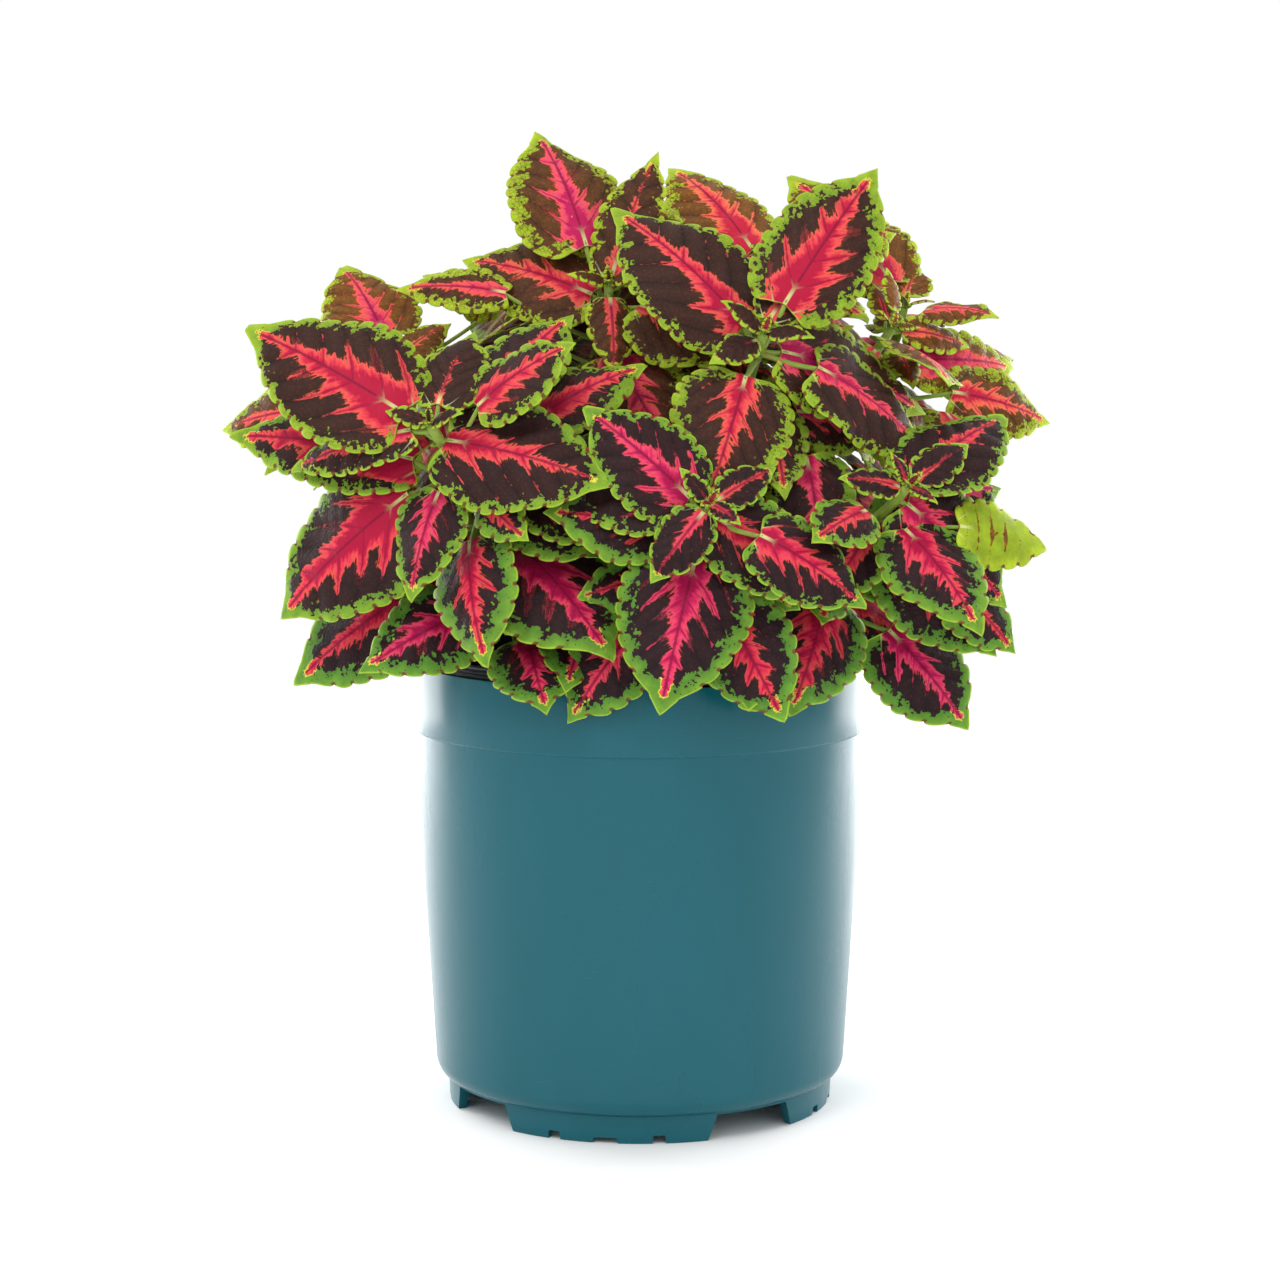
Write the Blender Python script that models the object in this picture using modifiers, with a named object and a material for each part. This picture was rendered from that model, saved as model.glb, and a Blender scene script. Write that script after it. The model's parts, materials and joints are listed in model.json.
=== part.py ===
"""A coleus in a plastic nursery pot, in metres, +Z up.

The origin is on the pot's axis, in the plane that the pot stands on. The camera side is -Y.
Twelve leafy stems stand in plain holes in the potting mix. Each stem carries opposite pairs of
scalloped leaves, every pair turned about a quarter turn from the one below. The stems towards
the camera have their leaves laid out one by one; those at the back and inside grow by a rule.
"""
import math
import random
from dataclasses import dataclass

import bmesh
import bpy
from mathutils import Matrix, Vector
from mathutils.bvhtree import BVHTree

MM = 0.001
GAP = 0.3 * MM

# Pot
POT_STEPS = 32
POT_HEIGHT = 166 * MM
BAND_TOP = 161.4 * MM
COLLAR_Z = 137.6 * MM
COLLAR_R = 82.8 * MM
LIP_R = 82.2 * MM
LIP_GROOVE = 0.7 * MM
LIP_EASE = 0.5 * MM
COLLAR_EASE = 0.4 * MM
BODY_TOP_R = 82.0 * MM
BODY_LOW_R = 74.7 * MM
CORNER_TOP = 17.0 * MM
CORNER_R = 5.5 * MM
FOOT_HEIGHT = 9.7 * MM
FOOT_R = 70.2 * MM
FOOT_WIDTH = 3.8 * MM
FOOT_DRAFT = 0.5 * MM
WALL = 1.5 * MM
FLOOR_FILLET = 3 * MM
FOOT_COUNT = 4
FIRST_GAP_DEG = 35
GAP_WIDE = 37 * MM
GAP_NARROW = 30 * MM
GAP_HEIGHT = 9.2 * MM
MID_NOTCH = (9 * MM, 2 * MM)
SIDE_NOTCH = (5 * MM, 3 * MM)
SIDE_NOTCH_DEG = 15.5
DRAIN_R = 4 * MM
DRAIN_RING_R = 48 * MM
DRAIN_SIDES = 8
CREASE_DEG = 35

# Potting mix
SOIL_TOP = 143 * MM
SOIL_CROWN = 3 * MM
HOLE_DEPTH = 26 * MM
HOLE_SIDES = 6
HOLE_R_OVER_STEM = 3.2 * GAP

# Stems and leaves
STEM_R = 3.1 * MM
STEM_TIP_R = 1.9 * MM
STEM_POINTS = 6
STEM_LIFT = 0.35
STEM_ARRIVE = 0.3
STEM_TAPER = 1.3
STALK_R = 0.75 * MM
STALK_R_PER_LENGTH = 0.008
STALK_END_R = 0.6 * MM
STALK_SINK = 0.5 * MM
STALK_REACH = 0.14
STALK_RISE_DEG = 18
BLADE_THICK = 0.8 * MM
CLEARANCE = 0.45 * MM
OUTLINE_RISE = 0.5
OUTLINE_FALL = 0.86
SCALLOP = 0.11
EDGE_WAVE = 0.035
WAVE_RATE = 11
FOLD_DEG = (10, 18)
TEETH_BY_LENGTH = ((6, 60), (5, 44), (4, 28), (3, 0))

# Copies tried for a leaf that meets another: shares of its size, lifts and turns in degrees
TRY_SCALES = (1.0, 0.92, 0.82, 0.7, 0.58)
TRY_LIFTS = (0, -8, 8, -16, 16)
TRY_TURNS = (0, 9, -9)
SHRINK_COST = 16


@dataclass
class Leaf:
    """One leaf of a shoot.

    Angles are in degrees. turn is the way the leaf points round the shoot, seen from the side
    that the shoot faces: 0 is towards +X and 90 is up and back. drop is how far below the
    shoot's tip the stalk starts. spread is the angle between the blade and the shoot's axis,
    swing turns the blade on from its stalk, and roll twists it about its midrib.
    """

    turn: float
    drop: float
    stalk: float
    length: float
    width: float
    spread: float
    swing: float = 0.0
    roll: float = 0.0
    bend: float = 34.0
    chosen: bool = True


@dataclass
class Shoot:
    """A leafy stem: where it stands, where its tip is and which way the tip faces."""

    name: str
    root: tuple
    tip: tuple
    facing: float
    lean: float
    leaves: list


FRONT_SHOOTS = [
    Shoot("stem_left", (-34, -22), (-70, -80, 250), 240, 45, [
        Leaf(68, 3, 9, 34, 26, 76, roll=10),
        Leaf(178, 3, 8, 48, 21, 84, roll=-15),
        Leaf(140, 8, 16, 68, 46, 66, swing=-5, roll=-10),
        Leaf(334, 8, 3, 58, 42, 92, roll=10),
        Leaf(200, 24, 19, 66, 49, 100, roll=-25),
        Leaf(48, 22, 24, 47, 32, 80, roll=15),
        Leaf(172, 30, 20, 70, 32, 74, roll=-15),
        Leaf(300, 32, 18, 26, 18, 84, roll=20),
        Leaf(312, 54, 10, 64, 52, 88, swing=-5, roll=-20),
        Leaf(200, 66, 24, 66, 44, 90, roll=-20),
        Leaf(240, 84, 26, 48, 34, 80, swing=-30, roll=-25),
        Leaf(188, 58, 18, 27, 18, 90, roll=-10),
        Leaf(203, 50, 36, 42, 24, 88, roll=-20),
        Leaf(26, 36, 34, 42, 28, 76, roll=10),
        Leaf(62, 64, 18, 48, 36, 84, chosen=False),
    ]),
    Shoot("stem_top", (-7, -4), (-11, -25, 296), 270, 38, [
        Leaf(276, 3, 4, 31, 18, 92, roll=-10),
        Leaf(70, 3, 6, 50, 24, 50),
        Leaf(166, 8, 7, 50, 37, 76, swing=-8, roll=-12),
        Leaf(318, 8, 14, 42, 35, 84, roll=10),
        Leaf(115, 14, 27, 55, 44, 62, swing=-8, roll=10),
        Leaf(272, 24, 14, 48, 37, 82, swing=20, roll=10),
        Leaf(166, 24, 42, 38, 20, 78, roll=-10),
        Leaf(350, 40, 16, 44, 32, 88, chosen=False),
        Leaf(205, 54, 20, 52, 40, 92, chosen=False),
        Leaf(70, 80, 16, 50, 38, 84, chosen=False),
    ]),
    Shoot("stem_right_top", (18, -16), (42, -58, 280), 285, 45, [
        Leaf(70, 3, 8, 37, 19, 66, swing=-8),
        Leaf(226, 3, 2, 22, 14, 78),
        Leaf(134, 8, 10, 64, 44, 72, swing=4, roll=-10),
        Leaf(2, 8, 8, 62, 38, 98, roll=10),
        Leaf(56, 13, 23, 57, 40, 62, roll=5),
        Leaf(250, 12, 14, 50, 42, 88, swing=8, roll=-5),
        Leaf(356, 38, 21, 34, 28, 80, roll=15),
        Leaf(312, 34, 32, 42, 32, 96, swing=-30),
        Leaf(180, 42, 18, 46, 34, 86, chosen=False),
        Leaf(70, 74, 18, 48, 36, 86, chosen=False),
    ]),
    Shoot("stem_front", (6, -40), (23, -99, 225), 270, 60, [
        Leaf(224, 2, 3, 31, 21, 84),
        Leaf(44, 2, 3, 26, 16, 82),
        Leaf(330, 7, 4, 44, 32, 95),
        Leaf(138, 7, 11, 59, 43, 86, roll=5),
        Leaf(257, 20, 12, 53, 45, 84),
        Leaf(90, 26, 8, 40, 28, 70, chosen=False),
        Leaf(290, 28, 27, 41, 34, 84, swing=8, roll=10),
        Leaf(232, 44, 29, 39, 31, 102),
        Leaf(200, 60, 40, 27, 13, 108, swing=50, roll=20),
        Leaf(20, 52, 16, 42, 30, 88, chosen=False),
    ]),
    Shoot("stem_right", (38, -22), (90, -75, 229), 300, 50, [
        Leaf(44, 2, 5, 26, 15, 64),
        Leaf(192, 2, 2, 23, 14, 80),
        Leaf(52, 7, 10, 52, 35, 66, roll=-20),
        Leaf(330, 7, 4, 50, 38, 92, roll=20),
        Leaf(350, 18, 28, 34, 26, 78, swing=20, roll=10),
        Leaf(226, 19, 3, 38, 26, 90, swing=10),
        Leaf(320, 33, 16, 48, 35, 84, swing=5, roll=20),
        Leaf(270, 54, 17, 45, 39, 88, swing=-12),
        Leaf(325, 63, 35, 43, 37, 88, swing=-8, roll=20),
        Leaf(320, 32, 36, 34, 24, 92, roll=20),
        Leaf(110, 52, 16, 44, 32, 84, chosen=False),
        Leaf(40, 72, 26, 52, 40, 92, chosen=False),
    ]),
    Shoot("stem_right_back", (42, 14), (91, 10, 280), 330, 38, [
        Leaf(112, 2, 8, 22, 12, 46),
        Leaf(16, 2, 5, 30, 15, 68, roll=25),
        Leaf(124, 5, 7, 17, 11, 58, roll=-20),
        Leaf(296, 5, 7, 19, 14, 90, roll=20),
        Leaf(355, 18, 18, 50, 30, 66, swing=22, roll=30),
        Leaf(352, 30, 38, 43, 29, 70, swing=16, roll=35),
        Leaf(330, 24, 36, 40, 24, 86, swing=-36, roll=10),
        Leaf(280, 28, 30, 28, 19, 90),
        Leaf(256, 9, 3, 32, 25, 102),
        Leaf(100, 30, 14, 48, 36, 72),
        Leaf(40, 62, 26, 54, 42, 94, chosen=False),
    ]),
    Shoot("stem_left_back", (-42, 12), (-94, 0, 262), 230, 42, [
        Leaf(28, 3, 12, 22, 17, 80, roll=15),
        Leaf(200, 3, 3, 22, 15, 84),
        Leaf(66, 6, 21, 42, 36, 63, swing=38, roll=25),
        Leaf(330, 9, 12, 36, 28, 88),
        Leaf(180, 17, 31, 42, 31, 76, swing=-10, roll=-20),
        Leaf(100, 28, 16, 50, 38, 80),
        Leaf(130, 50, 24, 54, 40, 92, chosen=False),
        Leaf(210, 66, 22, 50, 38, 96, chosen=False),
    ]),
    Shoot("stem_back_top", (4, 20), (46, 8, 304), 270, 12, [
        Leaf(30, 3, 4, 26, 18, 50),
        Leaf(210, 3, 4, 28, 18, 70),
        Leaf(129, 6, 11, 60, 36, 54, swing=-5, roll=-10),
        Leaf(310, 8, 10, 44, 32, 84),
        Leaf(28, 16, 20, 44, 33, 66, roll=20),
        Leaf(92, 20, 14, 52, 38, 66),
        Leaf(200, 36, 14, 50, 38, 88, chosen=False),
        Leaf(70, 52, 16, 52, 40, 88, chosen=False),
    ]),
    Shoot("stem_back_right", (30, 42), (97, 31, 287), 300, 14, [
        Leaf(68, 3, 8, 24, 18, 56),
        Leaf(240, 3, 5, 24, 16, 72),
        Leaf(112, 7, 17, 65, 41, 52, swing=24, roll=-20),
        Leaf(316, 8, 14, 36, 27, 82, roll=15),
        Leaf(30, 18, 14, 54, 40, 78),
        Leaf(100, 22, 14, 58, 42, 84),
        Leaf(60, 46, 20, 60, 44, 94),
        Leaf(125, 56, 20, 56, 42, 92),
        Leaf(55, 84, 26, 56, 44, 100, chosen=False),
    ]),
]

# Back shoots: name, root, tip, facing, lean and the turn of the first pair
BACK_SHOOTS = [
    ("stem_back_mid", (-12, 34), (-28, 44, 300), 115, 26, 20),
    ("stem_back_left", (-30, 44), (-80, 54, 258), 150, 44, 50),
    ("stem_back_low", (8, 56), (26, 84, 236), 80, 54, 35),
]
BACK_DROPS = (3, 9, 24, 46, 70)
BACK_LENGTHS = (26, 50, 60, 60, 56)
BACK_STALKS = (4, 8, 14, 22, 30)
BACK_SPREADS = (66, 76, 86, 94, 98)
BACK_LENGTH_DRAW = (0.88, 1.08)
BACK_TURN_DRAW = 10
BACK_SPREAD_DRAW = 6
WIDTH_SHARE = 0.7
SEED = 11


def link(obj, collection):
    """Put an object in one collection and return it."""
    collection.objects.link(obj)
    return obj


def new_collection(name):
    """Return a new collection under the scene's own."""
    collection = bpy.data.collections.new(name)
    bpy.context.scene.collection.children.link(collection)
    return collection


def material(name, colour, roughness):
    """Return a Principled material of one colour."""
    mat = bpy.data.materials.new(name)
    mat.use_nodes = True
    shader = mat.node_tree.nodes["Principled BSDF"]
    shader.inputs["Base Color"].default_value = (*colour, 1.0)
    shader.inputs["Roughness"].default_value = roughness
    shader.inputs["Metallic"].default_value = 0.0
    return mat


def mesh_object(name, points, faces, collection):
    """Return an object made of the given points, edges or faces."""
    mesh = bpy.data.meshes.new(name)
    mesh.from_pydata(points, [], faces)
    return link(bpy.data.objects.new(name, mesh), collection)


def turned(name, profile, collection):
    """Return a profile of (radius, height) points turned about Z."""
    mesh = bpy.data.meshes.new(name)
    edges = [(i, i + 1) for i in range(len(profile) - 1)]
    mesh.from_pydata([(r, 0, z) for r, z in profile], edges, [])
    obj = link(bpy.data.objects.new(name, mesh), collection)
    screw = obj.modifiers.new("turn", "SCREW")
    screw.steps = POT_STEPS
    screw.render_steps = POT_STEPS
    screw.use_merge_vertices = True
    screw.merge_threshold = 0.00001
    screw.use_smooth_shade = True
    return obj


def cut(obj, cutters):
    """Take the solids in a collection out of an object."""
    modifier = obj.modifiers.new("cut", "BOOLEAN")
    modifier.operation = "DIFFERENCE"
    modifier.operand_type = "COLLECTION"
    modifier.collection = cutters
    for cutter in cutters.objects:
        cutter.hide_render = True
        cutter.display_type = "WIRE"


def settle_mesh(obj):
    """Apply an object's modifiers to its mesh."""
    graph = bpy.context.evaluated_depsgraph_get()
    mesh = bpy.data.meshes.new_from_object(obj.evaluated_get(graph))
    obj.modifiers.clear()
    obj.data = mesh


def prism(name, sides, radius, height, place, collection):
    """Return a straight prism standing on the origin of its place."""
    mesh = bpy.data.meshes.new(name)
    bm = bmesh.new()
    bmesh.ops.create_cone(bm, cap_ends=True, segments=sides, radius1=radius, radius2=radius,
                          depth=height, matrix=Matrix.Translation((0, 0, height / 2)))
    bm.to_mesh(mesh)
    bm.free()
    obj = link(bpy.data.objects.new(name, mesh), collection)
    obj.matrix_world = place
    return obj


def trapezoid(name, wide, narrow, across, height, place, collection):
    """Return a bar whose width along X shrinks from wide at its foot to narrow at its top."""
    mesh = bpy.data.meshes.new(name)
    bm = bmesh.new()
    bmesh.ops.create_cube(bm, size=1.0, matrix=Matrix.Translation((0, 0, 0.5)))
    for vert in bm.verts:
        width = narrow if vert.co.z > 0.5 else wide
        vert.co = Vector((vert.co.x * width, vert.co.y * across, vert.co.z * height))
    bm.to_mesh(mesh)
    bm.free()
    obj = link(bpy.data.objects.new(name, mesh), collection)
    obj.matrix_world = place
    return obj


def round_the_axis(degrees, radius, height):
    """Return a place at an angle round the pot's axis, with its X along the wall."""
    turn = Matrix.Rotation(math.radians(degrees), 4, "Z")
    return turn @ Matrix.Translation((radius, 0, height)) @ Matrix.Rotation(math.pi / 2, 4, "Z")


def body_radius(z):
    """Return the outer radius of the pot's straight side at a height."""
    share = (z - CORNER_TOP) / (COLLAR_Z - CORNER_TOP)
    return BODY_LOW_R + share * (BODY_TOP_R - BODY_LOW_R)


def inner_radius(z):
    """Return the inner radius of the pot at a height."""
    return min(body_radius(z), BODY_TOP_R) - WALL


def pot_profile():
    """Return the pot's section: down the outside, under the floor and up the inside."""
    lip_step = (POT_HEIGHT - BAND_TOP) / 2
    points = [
        (LIP_R - LIP_EASE, POT_HEIGHT),
        (LIP_R, POT_HEIGHT - LIP_EASE),
        (LIP_R, POT_HEIGHT - lip_step),
        (LIP_R - LIP_GROOVE, BAND_TOP + COLLAR_EASE),
        (COLLAR_R, BAND_TOP - COLLAR_EASE),
        (COLLAR_R, COLLAR_Z + COLLAR_EASE),
        (body_radius(COLLAR_Z), COLLAR_Z - COLLAR_EASE),
    ]
    low = CORNER_TOP - FOOT_HEIGHT
    centre = BODY_LOW_R - CORNER_R
    for degrees in (0, 45, 75):
        angle = math.radians(degrees)
        points.append((centre + CORNER_R * math.cos(angle), CORNER_TOP - low * math.sin(angle)))
    points += [
        (FOOT_R, FOOT_HEIGHT),
        (FOOT_R - FOOT_DRAFT, 0),
        (FOOT_R - FOOT_WIDTH, 0),
        (FOOT_R - FOOT_WIDTH - FOOT_DRAFT, FOOT_HEIGHT),
        (0, FOOT_HEIGHT),
        (0, FOOT_HEIGHT + WALL),
        (inner_radius(CORNER_TOP) - FLOOR_FILLET, FOOT_HEIGHT + WALL),
        (inner_radius(CORNER_TOP), CORNER_TOP),
        (inner_radius(COLLAR_Z), COLLAR_Z),
        (inner_radius(POT_HEIGHT), POT_HEIGHT),
    ]
    return points + points[:1]


def build_pot(parts, cutters_parent):
    """Return the pot with its foot gaps, notches and drain holes."""
    pot = turned("pot", pot_profile(), parts)
    cutters = bpy.data.collections.new("pot_cutters")
    cutters_parent.children.link(cutters)
    middle = FOOT_R - FOOT_WIDTH / 2
    deep = 3 * FOOT_WIDTH
    for index in range(FOOT_COUNT):
        gap_deg = FIRST_GAP_DEG + index * 360 / FOOT_COUNT
        foot_deg = gap_deg + 180 / FOOT_COUNT
        place = round_the_axis(gap_deg, middle - 1 * MM, -1 * MM)
        trapezoid("foot_gap", GAP_WIDE, GAP_NARROW, 1.4 * deep, GAP_HEIGHT + 1 * MM, place, cutters)
        notches = ((0, MID_NOTCH), (-SIDE_NOTCH_DEG, SIDE_NOTCH), (SIDE_NOTCH_DEG, SIDE_NOTCH))
        for offset, (width, height) in notches:
            place = round_the_axis(foot_deg + offset, middle, -1 * MM)
            trapezoid("foot_notch", width, width, deep, height + 1 * MM, place, cutters)
        place = round_the_axis(foot_deg, DRAIN_RING_R, FOOT_HEIGHT - 2 * MM)
        prism("drain", DRAIN_SIDES, DRAIN_R, WALL + 4 * MM, place, cutters)
    cut(pot, cutters)
    settle_mesh(pot)
    pot.data.shade_smooth()
    pot.data.set_sharp_from_angle(angle=math.radians(CREASE_DEG))
    return pot


def build_soil(parts, cutters_parent, shoots):
    """Return the potting mix with a plain hole for each stem."""
    floor = FOOT_HEIGHT + WALL + GAP
    edge = inner_radius(SOIL_TOP) - 1.2 * GAP
    profile = [
        (0, SOIL_TOP + SOIL_CROWN),
        (edge, SOIL_TOP),
        (inner_radius(CORNER_TOP) - 1.6 * GAP, CORNER_TOP + 1 * MM),
        (inner_radius(CORNER_TOP) - FLOOR_FILLET - 2 * GAP, floor),
        (0, floor),
    ]
    soil = turned("potting_mix", profile, parts)
    cutters = bpy.data.collections.new("soil_cutters")
    cutters_parent.children.link(cutters)
    for shoot in shoots:
        x, y = shoot.root
        radius = STEM_R + HOLE_R_OVER_STEM
        place = Matrix.Translation((x * MM, y * MM, SOIL_TOP - HOLE_DEPTH))
        prism("stem_hole", HOLE_SIDES, radius, HOLE_DEPTH + 10 * MM, place, cutters)
    cut(soil, cutters)
    settle_mesh(soil)
    soil.data.shade_smooth()
    soil.data.set_sharp_from_angle(angle=math.radians(CREASE_DEG))
    return soil


def shoot_axis(shoot):
    """Return the direction that a shoot's tip faces."""
    lean = math.radians(shoot.lean)
    facing = math.radians(shoot.facing)
    flat = Vector((math.cos(facing), math.sin(facing), 0))
    return flat * math.sin(lean) + Vector((0, 0, 1)) * math.cos(lean)


def around(axis, degrees):
    """Return the direction square to an axis at a turn, with 0 nearest to +X."""
    right = Vector((1, 0, 0))
    right = (right - right.dot(axis) * axis).normalized()
    angle = math.radians(degrees)
    return right * math.cos(angle) + axis.cross(right) * math.sin(angle)


def stem_route(shoot):
    """Return the points of a stem, from the foot of its hole to its tip."""
    x, y = shoot.root
    foot = Vector((x * MM, y * MM, SOIL_TOP - HOLE_DEPTH + GAP))
    start = Vector((x * MM, y * MM, SOIL_TOP + SOIL_CROWN + 1 * MM))
    end = Vector(shoot.tip) * MM
    reach = (end - start).length
    lift = start + Vector((0, 0, STEM_LIFT * reach))
    arrive = end - shoot_axis(shoot) * STEM_ARRIVE * reach
    points = [foot]
    for index in range(STEM_POINTS):
        t = index / (STEM_POINTS - 1)
        u = 1 - t
        points.append(u ** 3 * start + 3 * u * u * t * lift + 3 * u * t * t * arrive + t ** 3 * end)
    return points


def along(points, distance):
    """Return the point of a route at a distance back from its end."""
    for after, before in zip(points[::-1], points[-2::-1]):
        step = (after - before).length
        if distance <= step:
            return after.lerp(before, distance / step)
        distance -= step
    return points[0].copy()


def half_width(leaf, t):
    """Return half the width of a blade's plain outline at a share of its length."""
    peak = OUTLINE_RISE / (OUTLINE_RISE + OUTLINE_FALL)
    top = peak ** OUTLINE_RISE * (1 - peak) ** OUTLINE_FALL
    return leaf.width * MM / 2 * t ** OUTLINE_RISE * (1 - t) ** OUTLINE_FALL / top


def teeth_of(leaf):
    """Return the number of scallops on each side of a blade."""
    return next(teeth for teeth, least in TEETH_BY_LENGTH if leaf.length >= least)


@dataclass
class Frame:
    """Where a blade starts, which way it points and which way its upper face looks."""

    base: Vector
    ahead: Vector
    up: Vector


def leaf_frame(shoot, leaf, route):
    """Return a leaf's stalk start and the frame of its blade."""
    axis = shoot_axis(shoot)
    start = along(route, leaf.drop * MM)
    spread = math.radians(leaf.spread)
    out = around(axis, leaf.turn)
    rise = spread - math.radians(STALK_RISE_DEG)
    base = start + (axis * math.cos(rise) + out * math.sin(rise)) * leaf.stalk * MM
    out = around(axis, leaf.turn + leaf.swing)
    ahead = axis * math.cos(spread) + out * math.sin(spread)
    up = (axis - axis.dot(ahead) * ahead).normalized()
    up = Matrix.Rotation(math.radians(leaf.roll), 3, ahead) @ up
    return start, Frame(base, ahead, up)


def blade_point(leaf, frame, t, side):
    """Return a point of a blade's middle surface and its normal.

    t runs from base to tip and side is the signed distance from the midrib.
    """
    length = leaf.length * MM
    bend = math.radians(leaf.bend)
    forward = length * math.sin(bend * t) / bend
    sink = length * (1 - math.cos(bend * t)) / bend
    across = frame.up.cross(frame.ahead)
    normal = frame.up * math.cos(bend * t) + frame.ahead * math.sin(bend * t)
    fold = math.radians(FOLD_DEG[0] + (FOLD_DEG[1] - FOLD_DEG[0]) * t)
    phase = leaf.turn + (2 if side > 0 else 0)
    wave = EDGE_WAVE * leaf.width * MM * math.sin(WAVE_RATE * t + phase)
    share = min(1.0, abs(side) / (leaf.width * MM / 2))
    point = frame.base + frame.ahead * forward - frame.up * sink
    point += across * side * math.cos(fold) - normal * (abs(side) * math.sin(fold) - wave * share)
    tilt = across * math.sin(fold) * (1 if side > 0 else -1 if side < 0 else 0)
    return point, (normal + tilt).normalized()


def blade_surface(leaf, frame):
    """Return the points, normals and triangles of a blade's middle surface."""
    teeth = teeth_of(leaf)
    ribs = 4 if teeth > 5 else 3
    count = 2 * teeth + 1
    points = [blade_point(leaf, frame, i / ribs, 0) for i in range(ribs + 1)]
    faces = []
    for sign in (1, -1):
        edge = [(0, 0.0)]
        for i in range(1, count):
            t = i / count
            reach = half_width(leaf, t) * (1 if i % 2 else 1 - SCALLOP)
            edge.append((len(points), t))
            points.append(blade_point(leaf, frame, t, sign * reach))
        edge.append((ribs, 1.0))
        rib, rim = 0, 0
        while rib < ribs or rim < count:
            step_rim = rim < count and (rib == ribs or edge[rim + 1][1] <= (rib + 1) / ribs)
            ahead = edge[rim + 1][0] if step_rim else rib + 1
            corner = (rib, edge[rim][0], ahead)
            if len(set(corner)) == 3:
                faces.append(corner[::-1] if sign > 0 else corner)
            if step_rim:
                rim += 1
            else:
                rib += 1
    return [p for p, n in points], [n for p, n in points], faces


def padded_blade(leaf, frame):
    """Return a tree of a blade thickened by the clearance on both faces."""
    points, normals, faces = blade_surface(leaf, frame)
    pad = BLADE_THICK / 2 + CLEARANCE
    upper = [p + n * pad for p, n in zip(points, normals)]
    lower = [p - n * pad for p, n in zip(points, normals)]
    shift = len(points)
    sheets = faces + [tuple(i + shift for i in face[::-1]) for face in faces]
    return BVHTree.FromPolygons(upper + lower, sheets)


def padded_tube(points, radius):
    """Return a tree of a six-sided tube round a route."""
    rings = []
    for index, point in enumerate(points):
        ahead = points[min(index + 1, len(points) - 1)] - points[max(index - 1, 0)]
        ahead.normalize()
        rings += [point + around(ahead, 60 * k) * radius for k in range(6)]
    faces = []
    for index in range(len(points) - 1):
        for k in range(6):
            low = 6 * index
            faces.append((low + k, low + (k + 1) % 6, low + 6 + (k + 1) % 6, low + 6 + k))
    return BVHTree.FromPolygons(rings, faces)


def stalk_route(leaf, start, frame):
    """Return the ends of a leaf stalk, which is sunk into the stem and under the blade's midrib."""
    end, normal = blade_point(leaf, frame, STALK_REACH, 0)
    return [start, end - normal * STALK_SINK]


def stalk_radius(leaf):
    """Return the radius of a leaf stalk where it leaves the stem."""
    return STALK_R + STALK_R_PER_LENGTH * leaf.length * MM


def varied(leaf):
    """Yield the leaf, then copies that are turned, lifted and shrunk more and more."""
    tries = []
    for scale in TRY_SCALES:
        for lift in TRY_LIFTS:
            for turn in TRY_TURNS:
                cost = abs(lift) / 8 + abs(turn) / 9 + (1 - scale) * SHRINK_COST
                tries.append((cost, len(tries), scale, lift, turn))
    for _, _, scale, lift, turn in sorted(tries):
        copy = Leaf(**vars(leaf))
        copy.length = leaf.length * scale
        copy.width = leaf.width * scale
        copy.spread = leaf.spread + lift
        copy.turn = leaf.turn + turn
        yield copy


class Thicket:
    """What already stands, so that each new leaf keeps clear of it."""

    def __init__(self, fixed):
        """Start with the trees of the pot and the potting mix."""
        self.items = [("", "fixed", tree) for tree in fixed]

    def add(self, node, kind, tree):
        """Add the tree of a stem, stalk or blade of a node."""
        self.items.append((node, kind, tree))

    def blocked(self, node, kind, tree, own_blades):
        """Return whether a tree meets other nodes, or also this node's own blades."""
        for other, other_kind, other_tree in self.items:
            own = other == node
            if own and not (own_blades and kind == other_kind == "blade"):
                continue
            if tree.overlap(other_tree):
                return True
        return False

    def settle(self, shoot, leaf, route):
        """Return the nearest copy of a leaf that stands clear, or None."""
        fused = None
        for copy in varied(leaf):
            start, frame = leaf_frame(shoot, copy, route)
            blade = padded_blade(copy, frame)
            stalk = padded_tube(stalk_route(copy, start, frame), stalk_radius(copy) + CLEARANCE)
            if self.blocked(shoot.name, "blade", blade, False):
                continue
            if self.blocked(shoot.name, "stalk", stalk, False):
                continue
            if not self.blocked(shoot.name, "blade", blade, True):
                fused = (copy, start, frame, blade, stalk)
                break
            if fused is None:
                fused = (copy, start, frame, blade, stalk)
            elif copy.length < 0.8 * leaf.length:
                break
        if fused is None:
            return None
        self.add(shoot.name, "blade", fused[3])
        self.add(shoot.name, "stalk", fused[4])
        return fused[:3]


def back_shoots():
    """Return the shoots at the back, whose leaves follow one rule with small draws."""
    draw = random.Random(SEED)
    shoots = []
    for name, root, tip, facing, lean, first_turn in BACK_SHOOTS:
        leaves = []
        for index, drop in enumerate(BACK_DROPS):
            for half in (0, 180):
                length = BACK_LENGTHS[index] * draw.uniform(*BACK_LENGTH_DRAW)
                turn = draw.uniform(-BACK_TURN_DRAW, BACK_TURN_DRAW)
                spread = draw.uniform(-BACK_SPREAD_DRAW, BACK_SPREAD_DRAW)
                leaves.append(Leaf(
                    first_turn + 90 * index + half + turn, drop, BACK_STALKS[index],
                    length, length * WIDTH_SHARE, BACK_SPREADS[index] + spread, chosen=False))
        shoots.append(Shoot(name, root, tip, facing, lean, leaves))
    return shoots


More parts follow.
